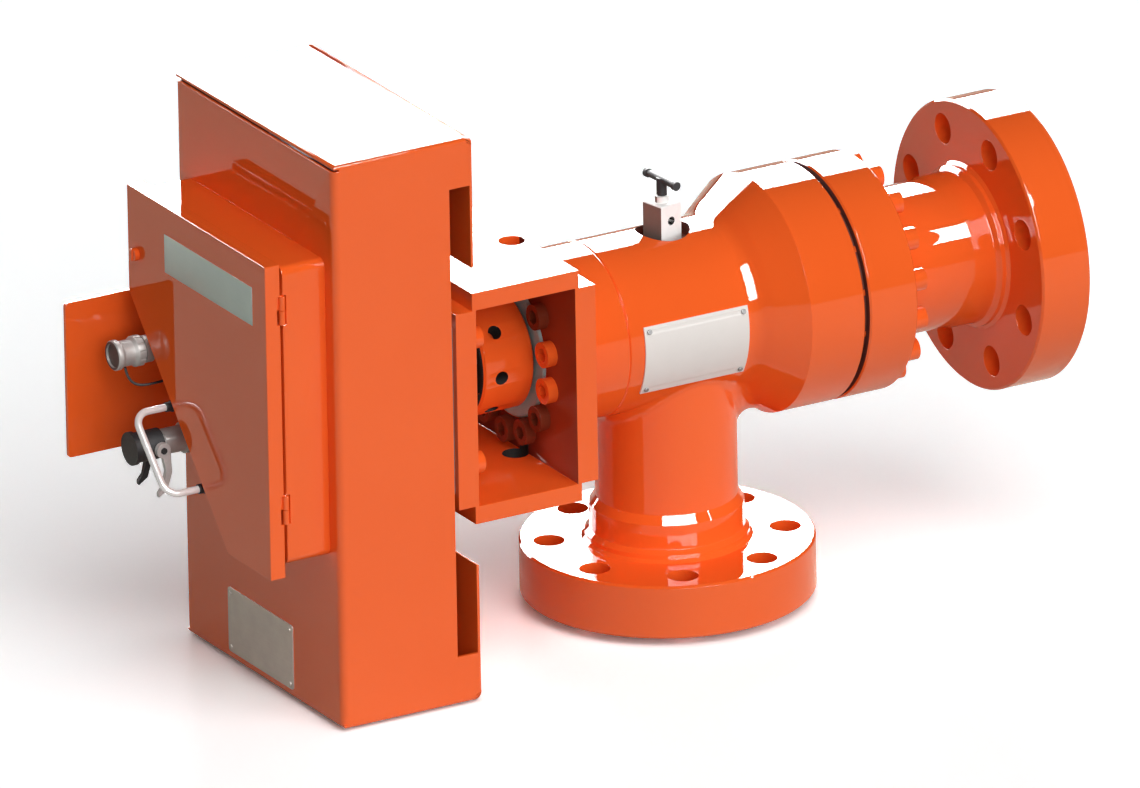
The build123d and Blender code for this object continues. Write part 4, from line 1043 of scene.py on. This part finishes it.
@dataclass
class DriveCabinet:
    """Sheet-metal cabinet with its guard plate, plates and control box.

    Args:
        edge: radius of the sheets' cut edges.
        bend_r: radius of the roof's and the floor's bent edges.
        half_w: half of the cabinet's width.
        rear: place of its rear face.
        ends: heights of its bottom and its top.
        corner_r: outer radius of the bends between roof or floor and rear.
        near: distance within which a corner lies on a plane.
        near_arc: distance within which a corner lies on an arc.
        shortest: shortest edge that is rounded.
        far_y: place beyond which the far sheet lies.
    """

    edge: float = 0.0007
    bend_r: float = 0.0034
    half_w: float = 0.1435
    rear: float = -0.2758
    ends: Pair = (0.0027, 0.5432)
    corner_r: float = 0.007
    near: float = 0.0001
    near_arc: float = 0.0002
    shortest: float = 0.0005
    far_y: float = 0.1

    def is_outer(self, first: Vector, second: Vector) -> bool:
        """Whether an edge runs along a side of the roof's or the floor's outer surface."""
        is_long = (first - second).length > self.shortest
        return self.on_rim(first) and self.on_rim(second) and is_long

    def on_rim(self, place: Vector) -> bool:
        """Whether a corner lies on the rim of the roof's or the floor's outer surface."""
        low, high = self.ends
        up = abs(place.z - (low + high) / 2)
        flat = (high - low) / 2
        over = math.hypot(place.x - (self.rear - self.corner_r), up - (flat - self.corner_r))
        if place.x > self.rear - self.corner_r and up > flat - self.corner_r:
            outer = abs(over - self.corner_r) < self.near_arc
        else:
            outer = up > flat - self.near or place.x > self.rear - self.near
        return abs(place.y) > self.half_w - self.near and outer

    def in_far_shade(self, centre: Vector, normal: Vector) -> bool:
        """Whether a face is the inside of the far sheet, which shows through the slots and gets
        painted shade.
        """
        return centre.y > self.far_y and normal.y < -FACING

    def build(self, maker: Maker) -> None:
        """Dresses the cabinet and the pieces fixed to it."""
        # Painted shade on the inside of the far sheet.
        far_shade = (Patch(SHADED, self.in_far_shade),)
        bend = Bend(self.bend_r, self.is_outer)
        maker.dress("cabinet_cover", ORANGE, self.edge, patches=far_shade)
        maker.dress("cabinet_roof", ORANGE, bend=bend)
        maker.dress("cabinet_floor", ORANGE, bend=bend)
        maker.dress("guard_plate", ORANGE, self.edge)
        maker.dress("guard_screws", ZINC, TURNED_EDGE)
        maker.dress("cabinet_nameplate", GREY_PLATE, PLATE_EDGE)
        maker.dress("control_box", ORANGE, self.edge)
        maker.dress("mounting_plate", ZINC, PLATE_EDGE)
        maker.dress("drive_module", PLASTIC, MOULDED_EDGE)
        maker.dress("terminal_rail", PLASTIC, TURNED_EDGE)
        maker.dress("hinge_box_leaves", ORANGE, PLATE_EDGE)
        maker.dress("hinge_pins", STEEL, PIN_EDGE)


@dataclass
class BoxDoor:
    """Hinged door of the control box with its label and latch.

    Args:
        edge: radius of the door's edges.
        label_low: near lower corner of the label, on the door's face.
        label_high: far upper corner of the label.
        face_x: place of the door's face.
        label_thick: thickness of the label.
        label_sunk: depth of the label in the door.
        label_edge: radius of the label's edges.
    """

    edge: float = 0.0008
    label_low: Pair = (-0.103, 0.391)
    label_high: Pair = (0.057, 0.4275)
    face_x: float = -0.482
    label_thick: float = 0.0004
    label_sunk: float = 0.0001
    label_edge: float = 0.0001

    def build(self, maker: Maker) -> None:
        """Dresses the door and adds its bare label."""
        maker.dress("control_box_door", ORANGE, self.edge)
        maker.dress("hinge_door_leaves", ORANGE, PLATE_EDGE)
        maker.paint(RUBBER, "door_gasket")
        maker.dress("door_latch", ORANGE, SMALL_EDGE)
        low = Vector((self.face_x - self.label_thick, *self.label_low))
        high = Vector((self.face_x + self.label_sunk, *self.label_high))
        form = plate_form(low, high, self.label_edge)
        maker.piece("door_label", form, LABEL, "box_door")


@dataclass
class Fittings:
    """Grab handle, connectors and the bleed valve.

    Args:
        block_half: half of the bleed valve's block along the pipe.
        block_skin: depth under its surface at which the port starts.
        port_y: the port lies nearer to the viewer than this place.
        end_cos: cosine from which a face looks along the axis.
        level_cos: cosine from which a face is the block's top or bottom.
    """

    block_half: float = 0.0145
    block_skin: float = 0.002
    port_y: float = -0.004
    end_cos: float = 0.95
    level_cos: float = 0.999

    def in_port(self, centre: Vector, normal: Vector) -> bool:
        """Whether a face of the bleed valve's block is inside its port, which gets painted shade.
        """
        is_deep = abs(centre.x) < self.block_half - self.block_skin and centre.y < self.port_y
        return is_deep and abs(normal.y) < WALL and abs(normal.z) < self.level_cos

    def is_end(self, centre: Vector, normal: Vector) -> bool:
        """Whether a face looks along the axis, away from the outlet."""
        return normal.x < -self.end_cos

    def build(self, maker: Maker) -> None:
        """Dresses the small fittings."""
        socket = (Patch(CONNECTOR_FACE, self.is_end),)
        # Painted shade on the block's faces that look away from the outlet and inside its port.
        block = (Patch(BLOCK_PAINTED_SHADE, self.is_end), Patch(PAINTED_HOLE_SHADE, self.in_port))
        maker.dress("grab_handle", POLISHED)
        maker.dress("handle_standoffs", BLACK, TURNED_EDGE)
        maker.dress("upper_connector", CONNECTOR, TURNED_EDGE)
        maker.dress("upper_connector_cap", CONNECTOR, PLATE_EDGE, patches=socket)
        maker.dress("cap_lanyard", RUBBER)
        maker.dress("lower_connector", CONNECTOR, TURNED_EDGE)
        maker.dress("lower_connector_cap", BLACK, MOULDED_EDGE)
        maker.dress("near_cam_lever", LEVER, MOULDED_EDGE)
        maker.dress("far_cam_lever", BLACK, MOULDED_EDGE)
        maker.dress("bleed_valve_block", BLOCK, TURNED_EDGE, patches=block)
        maker.dress("bleed_needle", STEEL)
        maker.dress("bleed_handle", BLACK, SMALL_EDGE)


# Stage


@dataclass
class Camera:
    """Camera at the photograph's angle.

    Args:
        turn: azimuth in degrees.
        rise: elevation in degrees.
        roll: roll in degrees.
        reach: distance in metres.
        aside: shift of the camera along its right, in metres.
        aloft: shift of the camera along its up, in metres.
        lift: height of the place that it turns about, in metres.
        lens: focal length in millimetres.
        sensor: width of its sensor in millimetres.
        clips: nearest and farthest distance that it sees, in metres.
    """

    turn: float = -29.5775
    rise: float = 21.0024
    roll: float = -0.98755
    reach: float = 30.0
    aside: float = -0.08891
    aloft: float = 0.17338
    lift: float = 0.0075
    lens: float = 1044.55
    sensor: float = 36.0
    clips: Pair = (1.0, 100.0)

    def build(self) -> None:
        """Makes the scene's camera."""
        a, e, r = (math.radians(v) for v in (self.turn, self.rise, self.roll))
        back = Vector((math.sin(a) * math.cos(e), -math.cos(a) * math.cos(e), math.sin(e)))
        level = Vector((math.cos(a), math.sin(a), 0.0))
        steep = back.cross(level)
        right = level * math.cos(r) + steep * math.sin(r)
        up = steep * math.cos(r) - level * math.sin(r)
        data = bpy.data.cameras.new("camera")
        data.lens = self.lens
        data.sensor_width = self.sensor
        data.clip_start, data.clip_end = self.clips
        foot = Vector((0.0, 0.0, self.lift))
        place = back * self.reach + right * self.aside + up * self.aloft + foot
        turn = Matrix((right, up, back)).transposed().to_4x4()
        camera = add_object("camera", data)
        camera.matrix_world = Matrix.Translation(place) @ turn
        bpy.context.scene.camera = camera


@dataclass(frozen=True)
class Sun:
    """Broad lamp that doesn't show in reflections.

    Args:
        name: name of the lamp.
        towards: direction from the valve to the lamp.
        strength: its strength.
        width: the angle that it fills, in degrees.
    """

    name: str
    towards: Triple
    strength: float
    width: float

    def build(self) -> None:
        """Hangs the lamp."""
        data = bpy.data.lights.new(self.name, "SUN")
        data.energy = self.strength
        data.angle = math.radians(self.width)
        lamp = add_object(self.name, data)
        lamp.rotation_mode = "QUATERNION"
        lamp.rotation_quaternion = Vector(self.towards).to_track_quat("Z", "Y")
        lamp.visible_glossy = False


@dataclass(frozen=True)
class SoftBox:
    """Lit rectangle that shows only in reflections.

    Args:
        name: name of the lamp.
        centre: place that it is aimed at.
        towards: direction from there to the box.
        level: direction that its width follows.
        reach: distance in metres.
        size: width and height in metres.
        radiance: brightness.
    """

    name: str
    centre: Triple
    towards: Triple
    level: Triple
    reach: float
    size: Pair
    radiance: float

    def build(self) -> None:
        """Hangs the box."""
        data = bpy.data.lights.new(self.name, "AREA")
        data.shape = "RECTANGLE"
        data.size, data.size_y = self.size
        data.energy = self.radiance * math.pi * self.size[0] * self.size[1]
        way = Vector(self.towards).normalized()
        wide = Vector(self.level)
        wide = (wide - way * wide.dot(way)).normalized()
        turn = Matrix((wide, way.cross(wide), way)).transposed().to_4x4()
        box = add_object(self.name, data)
        box.matrix_world = Matrix.Translation(Vector(self.centre) + way * self.reach) @ turn
        box.visible_camera = False
        box.visible_diffuse = False


LAMPS = (
    Sun("left_sun", (-0.21, -0.955, 0.208), strength=1.24, width=50.0),
    Sun("right_sun", (0.489, -0.847, 0.208), strength=1.34, width=50.0),
    Sun("top_sun", (-0.05, -0.62, 1.0), strength=1.0, width=40.0),
    SoftBox(
        "back_box", (-0.05, 0.0, 0.35), (0.312, 0.857, 0.410), (0.940, -0.342, 0.0),
        reach=4.0, size=(5.8, 3.0), radiance=36.0,
    ),
    SoftBox(
        "neck_box", (0.287, -0.056, 0.312), (0.461, -0.620, 0.634), (1.0, 0.0, 0.0),
        reach=1.0, size=(0.031, 0.36), radiance=60.0,
    ),
    SoftBox(
        "front_box", (0.0, -0.07, 0.2), (-0.097, -0.790, 0.600), (0.993, -0.122, 0.0),
        reach=6.0, size=(4.8, 4.8), radiance=45.0,
    ),
)


@dataclass
class Studio:
    """Pale floor, even surroundings and soft lamps.

    Args:
        floor_half: half of the floor's width, in metres.
        floor_seen: colour that the camera sees.
        floor_mirrored: colour that reflections see.
        floor_lit: colour that lights the valve.
        floor_rough: roughness of the floor.
        floor_specular: specular level of the floor.
        glow: light of its own that the floor shows.
        sky: strength of the sky as a light.
        sky_mirrored: strength of the sky in reflections.
        lamps: the lamps.
    """

    floor_half: float = 60.0
    floor_seen: Colour = (1.53, 1.56, 1.565)
    floor_mirrored: Colour = (1.50, 1.46, 1.25)
    floor_lit: Colour = (0.36, 0.36, 0.36)
    floor_rough: float = 0.22
    floor_specular: float = 0.0005
    glow: float = 0.01
    sky: float = 0.16
    sky_mirrored: float = 0.04
    lamps: tuple[Sun | SoftBox, ...] = LAMPS

    def floor(self) -> None:
        """Makes the floor, bright to the eye and in reflections, darker to what it lights."""
        form = bmesh.new()
        bmesh.ops.create_grid(form, x_segments=1, y_segments=1, size=self.floor_half)
        mesh = bpy.data.meshes.new("floor")
        form.to_mesh(mesh)
        form.free()
        plane = add_object("floor", mesh)
        material = bpy.data.materials.new("floor")
        board = empty_board(material)
        out = board.add("ShaderNodeOutputMaterial")
        rays = board.add("ShaderNodeLightPath").outputs
        mirrored = rays["Is Glossy Ray"]
        seen = board.maths("MAXIMUM", rays["Is Camera Ray"], mirrored)
        seen = board.maths("MAXIMUM", seen, rays["Is Transmission Ray"])
        shader = board.add("ShaderNodeBsdfPrincipled")
        tone = board.mix(mirrored, self.floor_seen, self.floor_mirrored)
        board.join(board.mix(seen, self.floor_lit, tone), shader.inputs["Base Color"])
        board.join(tone, shader.inputs["Emission Color"])
        board.join(board.maths("MULTIPLY", seen, self.glow), shader.inputs["Emission Strength"])
        shader.inputs["Roughness"].default_value = self.floor_rough
        shader.inputs["Specular IOR Level"].default_value = self.floor_specular
        board.join(shader.outputs["BSDF"], out.inputs["Surface"])
        mesh.materials.append(material)

    def surroundings(self) -> None:
        """Makes an even sky, white to the eye, faint in reflections and as a light."""
        world = bpy.data.worlds.new("studio")
        bpy.context.scene.world = world
        board = empty_board(world)
        out = board.add("ShaderNodeOutputWorld")
        sky = board.add("ShaderNodeBackground")
        rays = board.add("ShaderNodeLightPath").outputs
        seen = board.maths("MAXIMUM", rays["Is Camera Ray"], rays["Is Transmission Ray"])
        change = self.sky_mirrored - self.sky
        mirrored = board.maths("MULTIPLY", rays["Is Glossy Ray"], change)
        direct = board.spread(seen, reach=(0.0, 1.0), to=(self.sky, 1.0))
        sky.inputs["Color"].default_value = (1.0, 1.0, 1.0, 1.0)
        board.join(board.maths("ADD", direct, mirrored), sky.inputs["Strength"])
        board.join(sky.outputs["Background"], out.inputs["Surface"])

    def build(self) -> None:
        """Sets the stage."""
        self.floor()
        self.surroundings()
        for lamp in self.lamps:
            lamp.build()
        settings = bpy.context.scene.view_settings
        settings.view_transform = "Standard"


def main() -> None:
    """Builds the sub-assemblies in order, then the stage."""
    logging.basicConfig(level=logging.INFO, format="%(message)s")
    Camera().build()
    maker = Maker(frame)
    for assembly in (PressureBody(), YokeAndDrive(), DriveCabinet(), BoxDoor(), Fittings()):
        assembly.build(maker)
    Studio().build()


if __name__ == "__main__":
    main()
